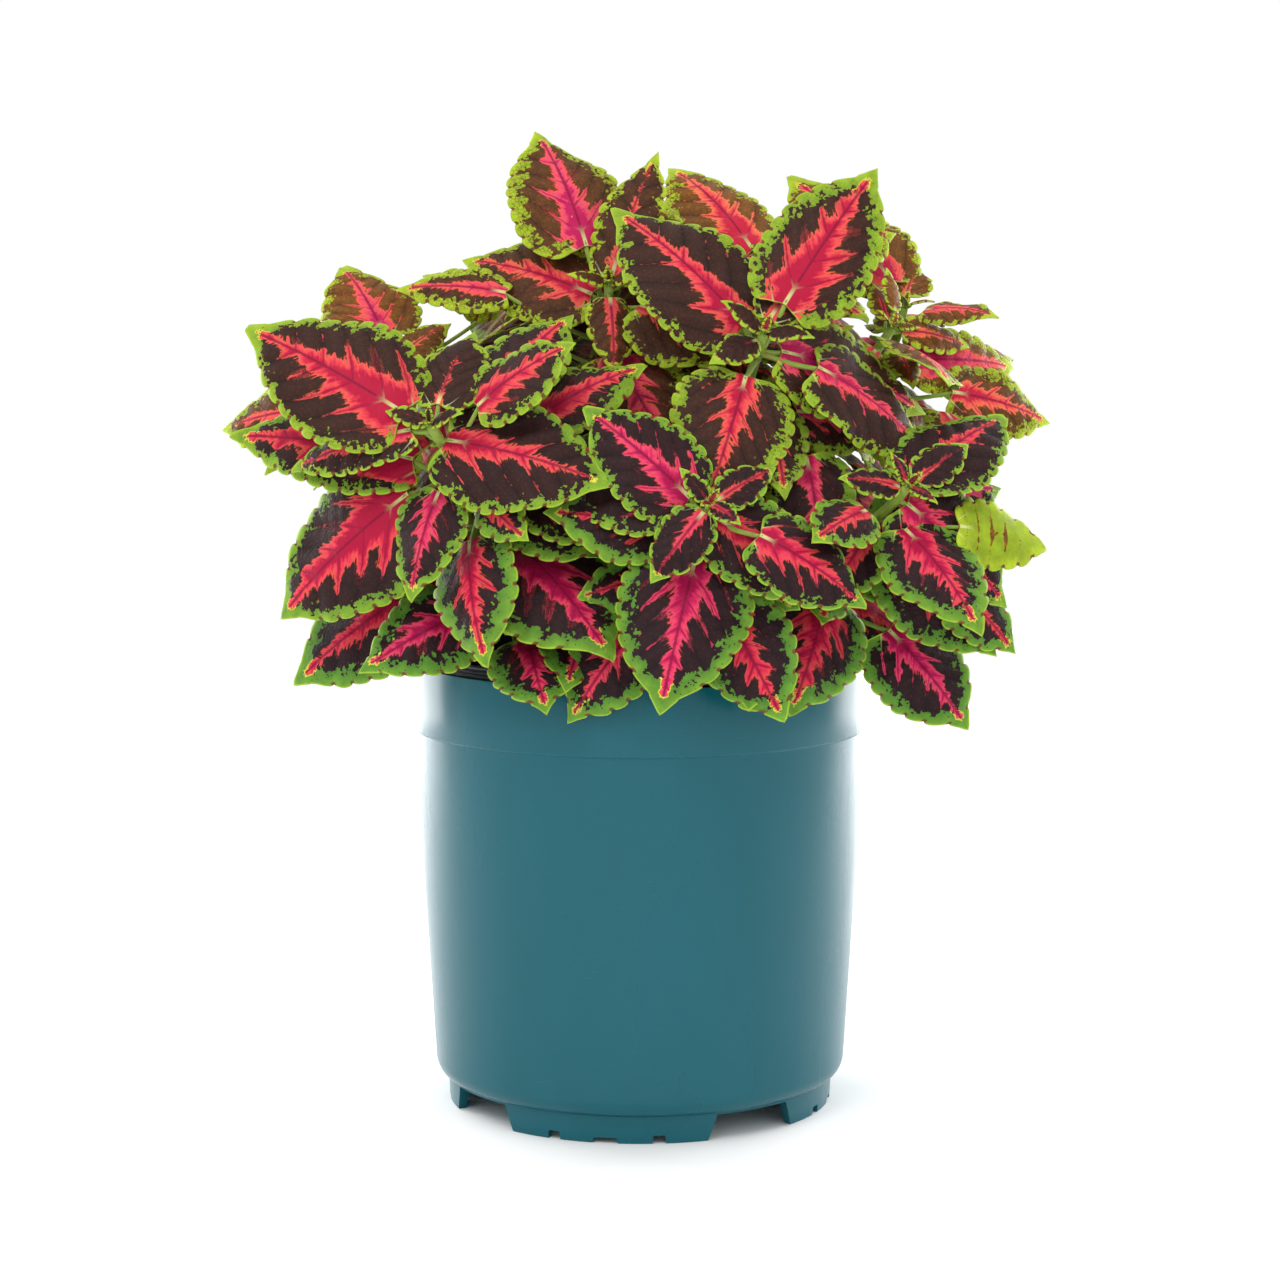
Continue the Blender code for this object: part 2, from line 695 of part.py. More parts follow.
def curve_mesh(name, points, radii, collection):
    """Return a closed four-sided tube along a route, as a mesh object."""
    curve = bpy.data.curves.new(name, "CURVE")
    curve.dimensions = "3D"
    curve.bevel_depth = 1.0
    curve.bevel_resolution = 0
    curve.use_fill_caps = True
    spline = curve.splines.new("POLY")
    spline.points.add(len(points) - 1)
    for knot, point, radius in zip(spline.points, points, radii):
        knot.co = (*point, 1.0)
        knot.radius = radius
    guide = link(bpy.data.objects.new(name + "_curve", curve), collection)
    graph = bpy.context.evaluated_depsgraph_get()
    mesh = bpy.data.meshes.new_from_object(guide.evaluated_get(graph))
    bm = bmesh.new()
    bm.from_mesh(mesh)
    bmesh.ops.remove_doubles(bm, verts=bm.verts, dist=0.00001)
    bmesh.ops.recalc_face_normals(bm, faces=bm.faces)
    bm.to_mesh(mesh)
    bm.free()
    obj = link(bpy.data.objects.new(name, mesh), collection)
    obj.matrix_world = guide.matrix_world
    bpy.data.objects.remove(guide)
    return obj


def blade_object(leaf, frame, collection):
    """Return a blade as a thin solid: its middle surface with a thickness."""
    points, _, faces = blade_surface(leaf, frame)
    obj = mesh_object("blade", points, faces, collection)
    solid = obj.modifiers.new("thickness", "SOLIDIFY")
    solid.thickness = BLADE_THICK
    solid.offset = 0.0
    return obj


def build_stem(shoot, route, grown, parts, mat):
    """Return one leafy stem, with its stalks and blades joined to it."""
    last = len(route) - 1
    radii = [STEM_R + (STEM_TIP_R - STEM_R) * (i / last) ** STEM_TAPER for i in range(last + 1)]
    stem = curve_mesh(shoot.name, route, radii, parts)
    pieces = new_collection("pieces")
    for leaf, start, frame in grown:
        stalk = stalk_route(leaf, start, frame)
        curve_mesh("stalk", stalk, (stalk_radius(leaf), STALK_END_R), pieces)
        blade_object(leaf, frame, pieces)
    union = stem.modifiers.new("union", "BOOLEAN")
    union.operation = "UNION"
    union.operand_type = "COLLECTION"
    union.collection = pieces
    settle_mesh(stem)
    for piece in list(pieces.objects):
        bpy.data.objects.remove(piece)
    bpy.data.collections.remove(pieces)
    stem.data.materials.clear()
    stem.data.materials.append(mat)
    return stem


def place_leaves(shoots, routes, fixed):
    """Return each shoot's leaves, the chosen ones first, all standing clear of each other."""
    graph = bpy.context.evaluated_depsgraph_get()
    thicket = Thicket([BVHTree.FromObject(obj, graph) for obj in fixed])
    for shoot in shoots:
        tube = padded_tube(routes[shoot.name][1:], STEM_R + CLEARANCE)
        thicket.add(shoot.name, "stem", tube)
    grown = {shoot.name: [] for shoot in shoots}
    for wanted in (True, False):
        for shoot in shoots:
            for leaf in shoot.leaves:
                if leaf.chosen is wanted:
                    placed = thicket.settle(shoot, leaf, routes[shoot.name])
                    if placed:
                        grown[shoot.name].append(placed)
    return grown


def main():
    """Build the pot, the potting mix and the leafy stems."""
    for obj in list(bpy.data.objects):
        bpy.data.objects.remove(obj)
    parts = new_collection("coleus")
    cutters = new_collection("cutters")
    shoots = FRONT_SHOOTS + back_shoots()

    pot = build_pot(parts, cutters)
    pot.data.materials.append(material("teal pot plastic", (0.014, 0.125, 0.142), 0.34))
    soil = build_soil(parts, cutters, shoots)
    soil.data.materials.append(material("potting mix", (0.028, 0.017, 0.011), 0.95))

    routes = {shoot.name: stem_route(shoot) for shoot in shoots}
    grown = place_leaves(shoots, routes, (pot, soil))
    leaf_colour = material("coleus leaf", (0.30, 0.035, 0.045), 0.5)
    for shoot in shoots:
        build_stem(shoot, routes[shoot.name], grown[shoot.name], parts, leaf_colour)


if __name__ == "__main__":
    main()
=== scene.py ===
"""Looks of a coleus growing in a moulded nursery pot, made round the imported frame.

The tables are in millimetres and degrees, and the scene is in metres, +Z up. The camera side is
-Y. Each leafy stem of the frame is stood for by a finer one: square stem, petioles, and blades
with their scallops, quilting and leaf markings. Buds, a few leaves at set places and filling
leaves, which the frame does not hold, make it denser. The pot and its mix are stood for too.
"""

import json
import logging
import math
import random
from dataclasses import dataclass, field
from enum import Enum
from typing import Any, Iterator

import bmesh
import bpy
import numpy as np
from mathutils import Matrix, Vector, noise
from mathutils.bvhtree import BVHTree

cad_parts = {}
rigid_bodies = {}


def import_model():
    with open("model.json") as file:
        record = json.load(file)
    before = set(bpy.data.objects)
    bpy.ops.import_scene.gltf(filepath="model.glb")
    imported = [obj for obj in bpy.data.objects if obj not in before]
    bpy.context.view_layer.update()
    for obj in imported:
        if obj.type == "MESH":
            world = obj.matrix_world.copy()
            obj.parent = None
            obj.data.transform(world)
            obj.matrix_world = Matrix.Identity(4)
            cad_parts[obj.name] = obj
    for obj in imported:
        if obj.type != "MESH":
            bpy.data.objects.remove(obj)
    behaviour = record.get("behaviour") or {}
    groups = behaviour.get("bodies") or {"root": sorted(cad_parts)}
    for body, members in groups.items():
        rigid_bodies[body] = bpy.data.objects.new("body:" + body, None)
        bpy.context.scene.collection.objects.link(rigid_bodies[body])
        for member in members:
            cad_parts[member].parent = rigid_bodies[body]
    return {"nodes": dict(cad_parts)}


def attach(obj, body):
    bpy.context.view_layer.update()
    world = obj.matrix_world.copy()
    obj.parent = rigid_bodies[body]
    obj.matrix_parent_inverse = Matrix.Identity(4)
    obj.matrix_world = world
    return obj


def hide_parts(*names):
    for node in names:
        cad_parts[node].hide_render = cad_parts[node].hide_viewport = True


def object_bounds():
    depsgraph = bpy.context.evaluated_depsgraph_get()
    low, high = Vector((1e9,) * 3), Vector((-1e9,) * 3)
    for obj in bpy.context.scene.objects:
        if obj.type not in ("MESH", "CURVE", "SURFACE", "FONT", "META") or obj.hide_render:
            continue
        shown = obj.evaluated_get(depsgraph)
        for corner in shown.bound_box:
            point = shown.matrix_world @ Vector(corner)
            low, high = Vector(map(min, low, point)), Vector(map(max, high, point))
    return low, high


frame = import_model()
CAD_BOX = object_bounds()

MM = 0.001
BODY = "root"
# lateral veins on each side of a blade
VEIN_COUNT = 5.6
LOG = logging.getLogger("coleus")


def linear(code: str) -> tuple[float, float, float, float]:
    """Turn an sRGB hex colour into linear light.

    Args:
        code: six hex digits after a hash.

    Returns:
        Red, green, blue and an alpha of one.
    """
    parts = (int(code[i:i + 2], 16) / 255 for i in (1, 3, 5))
    red, green, blue = (c / 12.92 if c <= 0.04045 else ((c + 0.055) / 1.055) ** 2.4 for c in parts)
    return red, green, blue, 1.0


def add(tree: bpy.types.NodeTree, kind: str, *links: Any, **settings: Any) -> bpy.types.Node:
    """Add a node with its settings and links.

    Args:
        tree: the node tree that gets the node.
        kind: the node's type without its ShaderNode prefix.
        links: for each enabled input in order, a node, an output, a value or None.
        settings: the node's own properties, or its inputs by name.

    Returns:
        The new node.
    """
    node = tree.nodes.new("ShaderNode" + kind)
    named = {}
    for key, value in settings.items():
        if hasattr(node, key):
            setattr(node, key, value)
        else:
            named[key.replace("_", " ")] = value
    wanted = list(zip([s for s in node.inputs if s.enabled], links))
    wanted += [(node.inputs[key], value) for key, value in named.items()]
    for socket, value in wanted:
        if isinstance(value, bpy.types.Node):
            value = next(out for out in value.outputs if out.enabled)
        if isinstance(value, bpy.types.NodeSocket):
            tree.links.new(value, socket)
        elif value is not None:
            socket.default_value = value
    return node


def times(tree: bpy.types.NodeTree, *factors: Any) -> bpy.types.Node:
    """Multiply fields or numbers, from left to right.

    Args:
        tree: the node tree.
        factors: two or more nodes, outputs or values.

    Returns:
        The product's node.
    """
    product = factors[0]
    for factor in factors[1:]:
        product = add(tree, "Math", product, factor, operation="MULTIPLY")
    return product


def span(tree: bpy.types.NodeTree, value: Any, low: float, high: float, start: float,
         end: float, soft: bool = False) -> bpy.types.Node:
    """Map a field from low and high to start and end, and hold it beyond both.

    Args:
        tree: the node tree.
        value: the field.
        low: the value that becomes start.
        high: the value that becomes end.
        start: the result at low.
        end: the result at high.
        soft: whether the change eases in and out.

    Returns:
        The result's node.
    """
    kind = "SMOOTHSTEP" if soft else "LINEAR"
    return add(tree, "MapRange", value, low, high, start, end, interpolation_type=kind)


def blend(tree: bpy.types.NodeTree, share: Any, below: Any, above: Any,
          **settings: Any) -> bpy.types.Node:
    """Mix two colours.

    Args:
        tree: the node tree.
        share: how much of the second colour shows.
        below: the first colour, as a hex code or a node.
        above: the second colour, in the same way.
        settings: the mix node's own properties.

    Returns:
        The mixed colour's node.
    """
    ends = [linear(colour) if isinstance(colour, str) else colour for colour in (below, above)]
    return add(tree, "Mix", share, *ends, data_type="RGBA", **settings)


def paint_ramp(node: bpy.types.Node, stops: list[tuple[float, str]]) -> bpy.types.Node:
    """Set the stops of a colour ramp.

    Args:
        node: the ramp's node.
        stops: places from 0 to 1 with their hex colours.

    Returns:
        The same node.
    """
    ramp = node.color_ramp
    while len(ramp.elements) < len(stops):
        ramp.elements.new(1.0)
    for element, (place, code) in zip(ramp.elements, stops):
        element.position = place
        element.color = linear(code)
    return node


def new_material(name: str) -> tuple[bpy.types.Material, bpy.types.NodeTree]:
    """Return a new material with an empty node tree.

    Args:
        name: the material's name.

    Returns:
        The material and its tree.
    """
    material = bpy.data.materials.new(name)
    material.use_nodes = True
    material.node_tree.nodes.clear()
    return material, material.node_tree


def finish_surface(tree: bpy.types.NodeTree, shader: bpy.types.Node) -> None:
    """Join a shader to the material's output.

    Args:
        tree: the material's tree.
        shader: the shader's node.
    """
    add(tree, "OutputMaterial", shader)


def new_object(name: str, data: bpy.types.ID) -> bpy.types.Object:
    """Return a new object with its data, linked to the scene.

    Args:
        name: the object's name.
        data: its mesh, camera or lamp.

    Returns:
        The new object.
    """
    made = bpy.data.objects.new(name, data)
    bpy.context.scene.collection.objects.link(made)
    return made


def mesh_piece(name: str, points: np.ndarray, faces: list[tuple[int, ...]],
               slots: np.ndarray | None = None) -> bpy.types.Object:
    """Return a smooth mesh object linked to the scene.

    Args:
        name: the piece's name.
        points: its corners in metres.
        faces: its faces as rows of corner numbers.
        slots: the material slot of each face.

    Returns:
        The new object.
    """
    mesh = bpy.data.meshes.new(name)
    mesh.from_pydata([tuple(p) for p in points.tolist()], [], faces)
    mesh.shade_smooth()
    if slots is not None:
        mesh.polygons.foreach_set("material_index", slots.astype(np.int32))
    mesh.update()
    return new_object(name, mesh)


def seat(piece: bpy.types.Object, slot: str, *nodes: str) -> None:
    """Let a piece ride on the body and stand for its nodes.

    Args:
        piece: the piece.
        slot: the record's material slot; not used.
        nodes: the frame's nodes that it stands for.
    """
    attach(piece, BODY)
    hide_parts(*nodes)
    triangles = sum(len(p.vertices) - 2 for p in piece.data.polygons)
    LOG.info("%s stands for %s with %d triangles", piece.name, ", ".join(nodes), triangles)


def smooth(value: np.ndarray | float, low: float, high: float) -> np.ndarray:
    """Return a smooth step from 0 at low to 1 at high.

    Args:
        value: the values.
        low: where the step starts.
        high: where it ends.

    Returns:
        The stepped values.
    """
    share = np.clip((np.asarray(value, float) - low) / (high - low), 0, 1)
    return share * share * (3 - 2 * share)


# The plant's plan


class Age(Enum):
    """How old a leaf is, which sets its markings."""

    BUD = "bud"
    YOUNG = "young"
    GROWN = "grown"
    OLD = "old"
    LIME = "lime"


@dataclass
class Leaf:
    """One leaf of a shoot, as the frame's source plans it.

    Angles are in degrees. turn is the way the leaf points round the shoot, seen from the side
    that the shoot faces. drop is how far below the tip its stalk starts. spread is the angle
    between blade and shoot, swing turns the blade on from its stalk, roll twists it.
    """

    turn: float
    drop: float
    stalk: float
    length: float
    width: float
    spread: float
    swing: float = 0.0
    roll: float = 0.0
    bend: float = 34.0
    age: Age | None = None


# The reach of the flame and the width of the green edge in millimetres, by age
MARKINGS = {
    Age.BUD: (0.55, 1.5),
    Age.YOUNG: (0.85, 2.2),
    Age.GROWN: (1.05, 3.4),
    Age.OLD: (1.1, 4.8),
    Age.LIME: (0.1, 16.0),
}


@dataclass
class Shoot:
    """A leafy stem: where it stands, where its tip is and which way the tip faces."""

    name: str
    root: tuple[float, float]
    tip: tuple[float, float, float]
    facing: float
    lean: float
    leaves: list[Leaf] = field(default_factory=list)


FRONT_SHOOTS = [
    Shoot("stem_left", (-34, -22), (-70, -80, 250), 240, 45, [
        Leaf(68, 3, 9, 34, 26, 76, roll=10),
        Leaf(178, 3, 8, 48, 21, 84, roll=-15),
        Leaf(140, 8, 16, 68, 46, 66, swing=-5, roll=-10),
        Leaf(334, 8, 3, 58, 42, 92, roll=10),
        Leaf(200, 24, 19, 66, 49, 100, roll=-25),
        Leaf(48, 22, 24, 47, 32, 80, roll=15),
        Leaf(172, 30, 20, 70, 32, 74, roll=-15),
        Leaf(300, 32, 18, 26, 18, 84, roll=20),
        Leaf(312, 54, 10, 64, 52, 88, swing=-5, roll=-20),
        Leaf(200, 66, 24, 66, 44, 90, roll=-20),
        Leaf(240, 84, 26, 48, 34, 80, swing=-30, roll=-25),
        Leaf(188, 58, 18, 27, 18, 90, roll=-10),
        Leaf(203, 50, 36, 42, 24, 88, roll=-20),
        Leaf(26, 36, 34, 42, 28, 76, roll=10),
        Leaf(62, 64, 18, 48, 36, 84),
    ]),
    Shoot("stem_top", (-7, -4), (-11, -25, 296), 270, 38, [
        Leaf(276, 3, 4, 31, 18, 92, roll=-10),
        Leaf(70, 3, 6, 50, 24, 50),
        Leaf(166, 8, 7, 50, 37, 76, swing=-8, roll=-12),
        Leaf(318, 8, 14, 42, 35, 84, roll=10),
        Leaf(115, 14, 27, 55, 44, 62, swing=-8, roll=10),
        Leaf(272, 24, 14, 48, 37, 82, swing=20, roll=10),
        Leaf(166, 24, 42, 38, 20, 78, roll=-10),
        Leaf(350, 40, 16, 44, 32, 88),
        Leaf(205, 54, 20, 52, 40, 92),
        Leaf(70, 80, 16, 50, 38, 84),
    ]),
    Shoot("stem_right_top", (18, -16), (42, -58, 280), 285, 45, [
        Leaf(70, 3, 8, 37, 19, 66, swing=-8),
        Leaf(226, 3, 2, 22, 14, 78),
        Leaf(134, 8, 10, 64, 44, 72, swing=4, roll=-10),
        Leaf(2, 8, 8, 62, 38, 98, roll=10),
        Leaf(56, 13, 23, 57, 40, 62, roll=5),
        Leaf(250, 12, 14, 50, 42, 88, swing=8, roll=-5),
        Leaf(356, 38, 21, 34, 28, 80, roll=15),
        Leaf(312, 34, 32, 42, 32, 96, swing=-30),
        Leaf(180, 42, 18, 46, 34, 86),
        Leaf(70, 74, 18, 48, 36, 86),
    ]),
    Shoot("stem_front", (6, -40), (23, -99, 225), 270, 60, [
        Leaf(224, 2, 3, 31, 21, 84),
        Leaf(44, 2, 3, 26, 16, 82),
        Leaf(330, 7, 4, 44, 32, 95),
        Leaf(138, 7, 11, 59, 43, 86, roll=5),
        Leaf(257, 20, 12, 53, 45, 84),
        Leaf(90, 26, 8, 40, 28, 70),
        Leaf(290, 28, 27, 41, 34, 84, swing=8, roll=10),
        Leaf(232, 44, 29, 39, 31, 102),
        Leaf(200, 60, 40, 27, 13, 108, swing=50, roll=20),
        Leaf(20, 52, 16, 42, 30, 88),
    ]),
    Shoot("stem_right", (38, -22), (90, -75, 229), 300, 50, [
        Leaf(44, 2, 5, 26, 15, 64),
        Leaf(192, 2, 2, 23, 14, 80),
        Leaf(52, 7, 10, 52, 35, 66, roll=-20),
        Leaf(330, 7, 4, 50, 38, 92, roll=20),
        Leaf(350, 18, 28, 34, 26, 78, swing=20, roll=10, age=Age.LIME),
        Leaf(226, 19, 3, 38, 26, 90, swing=10),
        Leaf(320, 33, 16, 48, 35, 84, swing=5, roll=20),
        Leaf(270, 54, 17, 45, 39, 88, swing=-12),
        Leaf(325, 63, 35, 43, 37, 88, swing=-8, roll=20),
        Leaf(320, 32, 36, 34, 24, 92, roll=20),
        Leaf(110, 52, 16, 44, 32, 84),
        Leaf(40, 72, 26, 52, 40, 92),
    ]),
    Shoot("stem_right_back", (42, 14), (91, 10, 280), 330, 38, [
        Leaf(112, 2, 8, 22, 12, 46),
        Leaf(16, 2, 5, 30, 15, 68, roll=25),
        Leaf(124, 5, 7, 17, 11, 58, roll=-20),
        Leaf(296, 5, 7, 19, 14, 90, roll=20),
        Leaf(355, 18, 18, 50, 30, 66, swing=22, roll=30),
        Leaf(352, 30, 38, 43, 29, 70, swing=16, roll=35),
        Leaf(330, 24, 36, 40, 24, 86, swing=-36, roll=10),
        Leaf(280, 28, 30, 28, 19, 90),
        Leaf(256, 9, 3, 32, 25, 102),
        Leaf(100, 30, 14, 48, 36, 72),
        Leaf(40, 62, 26, 54, 42, 94),
    ]),
    Shoot("stem_left_back", (-42, 12), (-94, 0, 262), 230, 42, [
        Leaf(28, 3, 12, 22, 17, 80, roll=15),
        Leaf(200, 3, 3, 22, 15, 84),
        Leaf(66, 6, 21, 42, 36, 63, swing=38, roll=25),
        Leaf(330, 9, 12, 36, 28, 88),
        Leaf(180, 17, 31, 42, 31, 76, swing=-10, roll=-20),
        Leaf(100, 28, 16, 50, 38, 80),
        Leaf(130, 50, 24, 54, 40, 92),
        Leaf(210, 66, 22, 50, 38, 96),
    ]),
    Shoot("stem_back_top", (4, 20), (46, 8, 304), 270, 12, [
        Leaf(30, 3, 4, 26, 18, 50),
        Leaf(210, 3, 4, 28, 18, 70),
        Leaf(129, 6, 11, 60, 36, 54, swing=-5, roll=-10),
        Leaf(310, 8, 10, 44, 32, 84),
        Leaf(28, 16, 20, 44, 33, 66, roll=20),
        Leaf(92, 20, 14, 52, 38, 66),
        Leaf(200, 36, 14, 50, 38, 88),
        Leaf(70, 52, 16, 52, 40, 88),
    ]),
    Shoot("stem_back_right", (30, 42), (97, 31, 287), 300, 14, [
        Leaf(68, 3, 8, 24, 18, 56),
        Leaf(240, 3, 5, 24, 16, 72),
        Leaf(112, 7, 17, 65, 41, 52, swing=24, roll=-20),
        Leaf(316, 8, 14, 36, 27, 82, roll=15),
        Leaf(30, 18, 14, 54, 40, 78),
        Leaf(100, 22, 14, 58, 42, 84),
        Leaf(60, 46, 20, 60, 44, 94),
        Leaf(125, 56, 20, 56, 42, 92),
        Leaf(55, 84, 26, 56, 44, 100),
    ]),
]

# Back shoots: name, root, tip, facing, lean and the turn of the first pair
BACK_SHOOTS = [
    ("stem_back_mid", (-12, 34), (-28, 44, 300), 115, 26, 20),
    ("stem_back_left", (-30, 44), (-80, 54, 258), 150, 44, 50),
    ("stem_back_low", (8, 56), (26, 84, 236), 80, 54, 35),
]
BACK_PAIRS = [(3, 26, 4, 66), (9, 50, 8, 76), (24, 60, 14, 86), (46, 60, 22, 94), (70, 56, 30, 98)]
BACK_SEED = 11
BACK_WIDTH_SHARE = 0.7


def back_shoots() -> list[Shoot]:
    """Return the shoots at the back, whose leaves follow one rule with small draws.

    Returns:
        The shoots with their leaves.
    """
    draw = random.Random(BACK_SEED)
    shoots = []
    for name, root, tip, facing, lean, first in BACK_SHOOTS:
        shoot = Shoot(name, root, tip, facing, lean)
        for index, (drop, size, stalk, spread) in enumerate(BACK_PAIRS):
            for half in (0, 180):
                length = size * draw.uniform(0.88, 1.08)
                turn = first + 90 * index + half + draw.uniform(-10, 10)
                opened = spread + draw.uniform(-6, 6)
                shoot.leaves.append(
                    Leaf(turn, drop, stalk, length, length * BACK_WIDTH_SHARE, opened))
        shoots.append(shoot)
    return shoots


@dataclass(frozen=True)
class Growth:
    """The rule by which the frame's stems, stalks and blades grow. Lengths are in metres."""

    soil_top: float = 143 * MM
    soil_crown: float = 3 * MM
    hole_depth: float = 26 * MM
    hole_gap: float = 0.3 * MM
    stem_points: int = 6
    stem_lift: float = 0.35
    stem_arrive: float = 0.3
    stalk_rise: float = 18.0
    rise: float = 0.5
    fall: float = 0.86
    wave: float = 0.035
    wave_rate: float = 11.0
    fold: tuple[float, float] = (10.0, 18.0)

    def axis(self, shoot: Shoot) -> Vector:
        """Return the direction that a shoot's tip faces.

        Args:
            shoot: the shoot's plan.

        Returns:
            A unit vector.
        """
        lean, facing = math.radians(shoot.lean), math.radians(shoot.facing)
        flat = Vector((math.cos(facing), math.sin(facing), 0))
        return flat * math.sin(lean) + Vector((0, 0, 1)) * math.cos(lean)

    def around(self, axis: Vector, degrees: float) -> Vector:
        """Return the direction square to an axis at a turn.

        Args:
            axis: the axis.
            degrees: the turn, with 0 nearest to +X.

        Returns:
            A unit vector.
        """
        right = Vector((1, 0, 0))
        right = (right - right.dot(axis) * axis).normalized()
        angle = math.radians(degrees)
        return right * math.cos(angle) + axis.cross(right) * math.sin(angle)

    def knots(self, shoot: Shoot, share: np.ndarray) -> list[Vector]:
        """Return points of a stem above the potting mix.

        Args:
            shoot: the stem's plan.
            share: places from 0 at the potting mix to 1 at the tip.

        Returns:
            The points in metres.
        """
        x, y = shoot.root
        start = Vector((x * MM, y * MM, self.soil_top + self.soil_crown + 1 * MM))
        end = Vector(shoot.tip) * MM
        reach = (end - start).length
        lift = start + Vector((0, 0, self.stem_lift * reach))
        arrive = end - self.axis(shoot) * self.stem_arrive * reach
        points = []
        for t in share:
            u = 1 - float(t)
            t = float(t)
            points.append(u ** 3 * start + 3 * u * u * t * lift + 3 * u * t * t * arrive
                          + t ** 3 * end)
        return points

    def foot(self, shoot: Shoot) -> Vector:
        """Return the lowest point of a stem, in its hole."""
        x, y = shoot.root
        return Vector((x * MM, y * MM, self.soil_top - self.hole_depth + self.hole_gap))

    def route(self, shoot: Shoot) -> list[Vector]:
        """Return the frame's own coarse route of a stem."""
        share = np.linspace(0, 1, self.stem_points)
        return [self.foot(shoot)] + self.knots(shoot, share)

    def along(self, points: list[Vector], distance: float) -> Vector:
        """Return the point of a route at a distance back from its end.

        Args:
            points: the route.
            distance: the distance in metres.

        Returns:
            The point.
        """
        for after, before in zip(points[::-1], points[-2::-1]):
            step = (after - before).length
            if distance <= step:
                return after.lerp(before, distance / step)
            distance -= step
        return points[0].copy()


@dataclass
class Blade:
    """A blade in its place: the leaf's plan and the frame that it grows in."""

    leaf: Leaf
    growth: Growth
    start: Vector
    base: np.ndarray
    ahead: np.ndarray
    up: np.ndarray

    @classmethod
    def grow(cls, growth: Growth, shoot: Shoot, leaf: Leaf, route: list[Vector]) -> "Blade":
        """Return the blade of a leaf on its shoot.

        Args:
            growth: the plant's rule.
            shoot: the shoot's plan.
            leaf: the leaf's plan.
            route: the shoot's coarse route.

        Returns:
            The placed blade.
        """
        axis = growth.axis(shoot)
        start = growth.along(route, leaf.drop * MM)
        spread = math.radians(leaf.spread)
        out = growth.around(axis, leaf.turn)
        rise = spread - math.radians(growth.stalk_rise)
        base = start + (axis * math.cos(rise) + out * math.sin(rise)) * leaf.stalk * MM
        out = growth.around(axis, leaf.turn + leaf.swing)
        ahead = axis * math.cos(spread) + out * math.sin(spread)
        up = (axis - axis.dot(ahead) * ahead).normalized()
        up = Matrix.Rotation(math.radians(leaf.roll), 3, ahead) @ up
        return cls(leaf, growth, start, np.array(base), np.array(ahead), np.array(up))

    def half_width(self, t: np.ndarray, fuller: float = 0.0) -> np.ndarray:
        """Return half the width of the plain outline at shares of the length, in metres.

        Args:
            t: shares of the length.
            fuller: how much broader the base is than the frame's outline.

        Returns:
            The half widths.
        """
        rise, fall = self.growth.rise - fuller, self.growth.fall - 0.3 * fuller
        peak = rise / (rise + fall)
        top = peak ** rise * (1 - peak) ** fall
        return self.leaf.width * MM / 2 * t ** rise * np.clip(1 - t, 0, 1) ** fall / top

    def surface(self, t: np.ndarray, side: np.ndarray) -> tuple[np.ndarray, np.ndarray]:
        """Return points of the middle surface and their normals.

        Args:
            t: shares of the length, from base to tip.
            side: signed distances from the midrib in metres.

        Returns:
            Rows of points and rows of unit normals.
        """
        leaf, rule = self.leaf, self.growth
        length, bend = leaf.length * MM, math.radians(leaf.bend)
        across = np.cross(self.up, self.ahead)
        t, side = np.broadcast_arrays(np.asarray(t, float), np.asarray(side, float))
        t, side = t[..., None], side[..., None]
        forward = length * np.sin(bend * t) / bend
        sink = length * (1 - np.cos(bend * t)) / bend
        normal = self.up * np.cos(bend * t) + self.ahead * np.sin(bend * t)
        fold = np.radians(rule.fold[0] + (rule.fold[1] - rule.fold[0]) * t)
        phase = leaf.turn + np.where(side > 0, 2, 0)
        wave = rule.wave * leaf.width * MM * np.sin(rule.wave_rate * t + phase)
        share = np.minimum(1.0, np.abs(side) / (leaf.width * MM / 2))
        point = self.base + self.ahead * forward - self.up * sink
        point = point + across * side * np.cos(fold)
        point = point - normal * (np.abs(side) * np.sin(fold) - wave * share)
        tilt = normal + across * np.sin(fold) * np.sign(side)
        return point, tilt / np.linalg.norm(tilt, axis=-1, keepdims=True)


@dataclass(frozen=True)
class Sprig:
    """A leaf that the frame does not hold, set by its base and tip. Millimetres."""

    shoot: str
    base: tuple[float, float, float]
    tip: tuple[float, float, float]
    faces: tuple[float, float, float] = (0.0, -1.0, 0.45)
    broad: float = 0.74
    bend: float = 34.0

    def grow(self, growth: Growth, route: list[Vector]) -> tuple[Leaf, Blade]:
        """Return the leaf with its place.

        Args:
            growth: the plant's rule.
            route: the shoot's coarse route, on which the stalk starts nearest to the base.

        Returns:
            The leaf's plan and its blade.
        """
        base, tip = Vector(self.base) * MM, Vector(self.tip) * MM
        chord, half = tip - base, math.radians(self.bend) / 2
        length = chord.length / MM * half / math.sin(half)
        chord.normalize()
        faces = Vector(self.faces)
        faces = (faces - faces.dot(chord) * chord).normalized()
        ahead = chord * math.cos(half) + faces * math.sin(half)
        up = faces * math.cos(half) - chord * math.sin(half)
        start = min(route[2:], key=lambda point: (point - base).length)
        leaf = Leaf(0, 30, 10, length, self.broad * length, 90, bend=self.bend)
        return leaf, Blade(leaf, growth, start, np.array(base), np.array(ahead), np.array(up))


SPRIGS = [
    Sprig("stem_left", (-39, -62, 176), (-31, -99, 155)),
    Sprig("stem_front", (-17, -55, 185), (-25, -90, 161)),
    Sprig("stem_left_back", (-50, 8, 288), (-78, 4, 299), faces=(0.2, -1.0, 0.8)),
    Sprig("stem_right", (42, -58, 178), (36, -97, 156)),
]


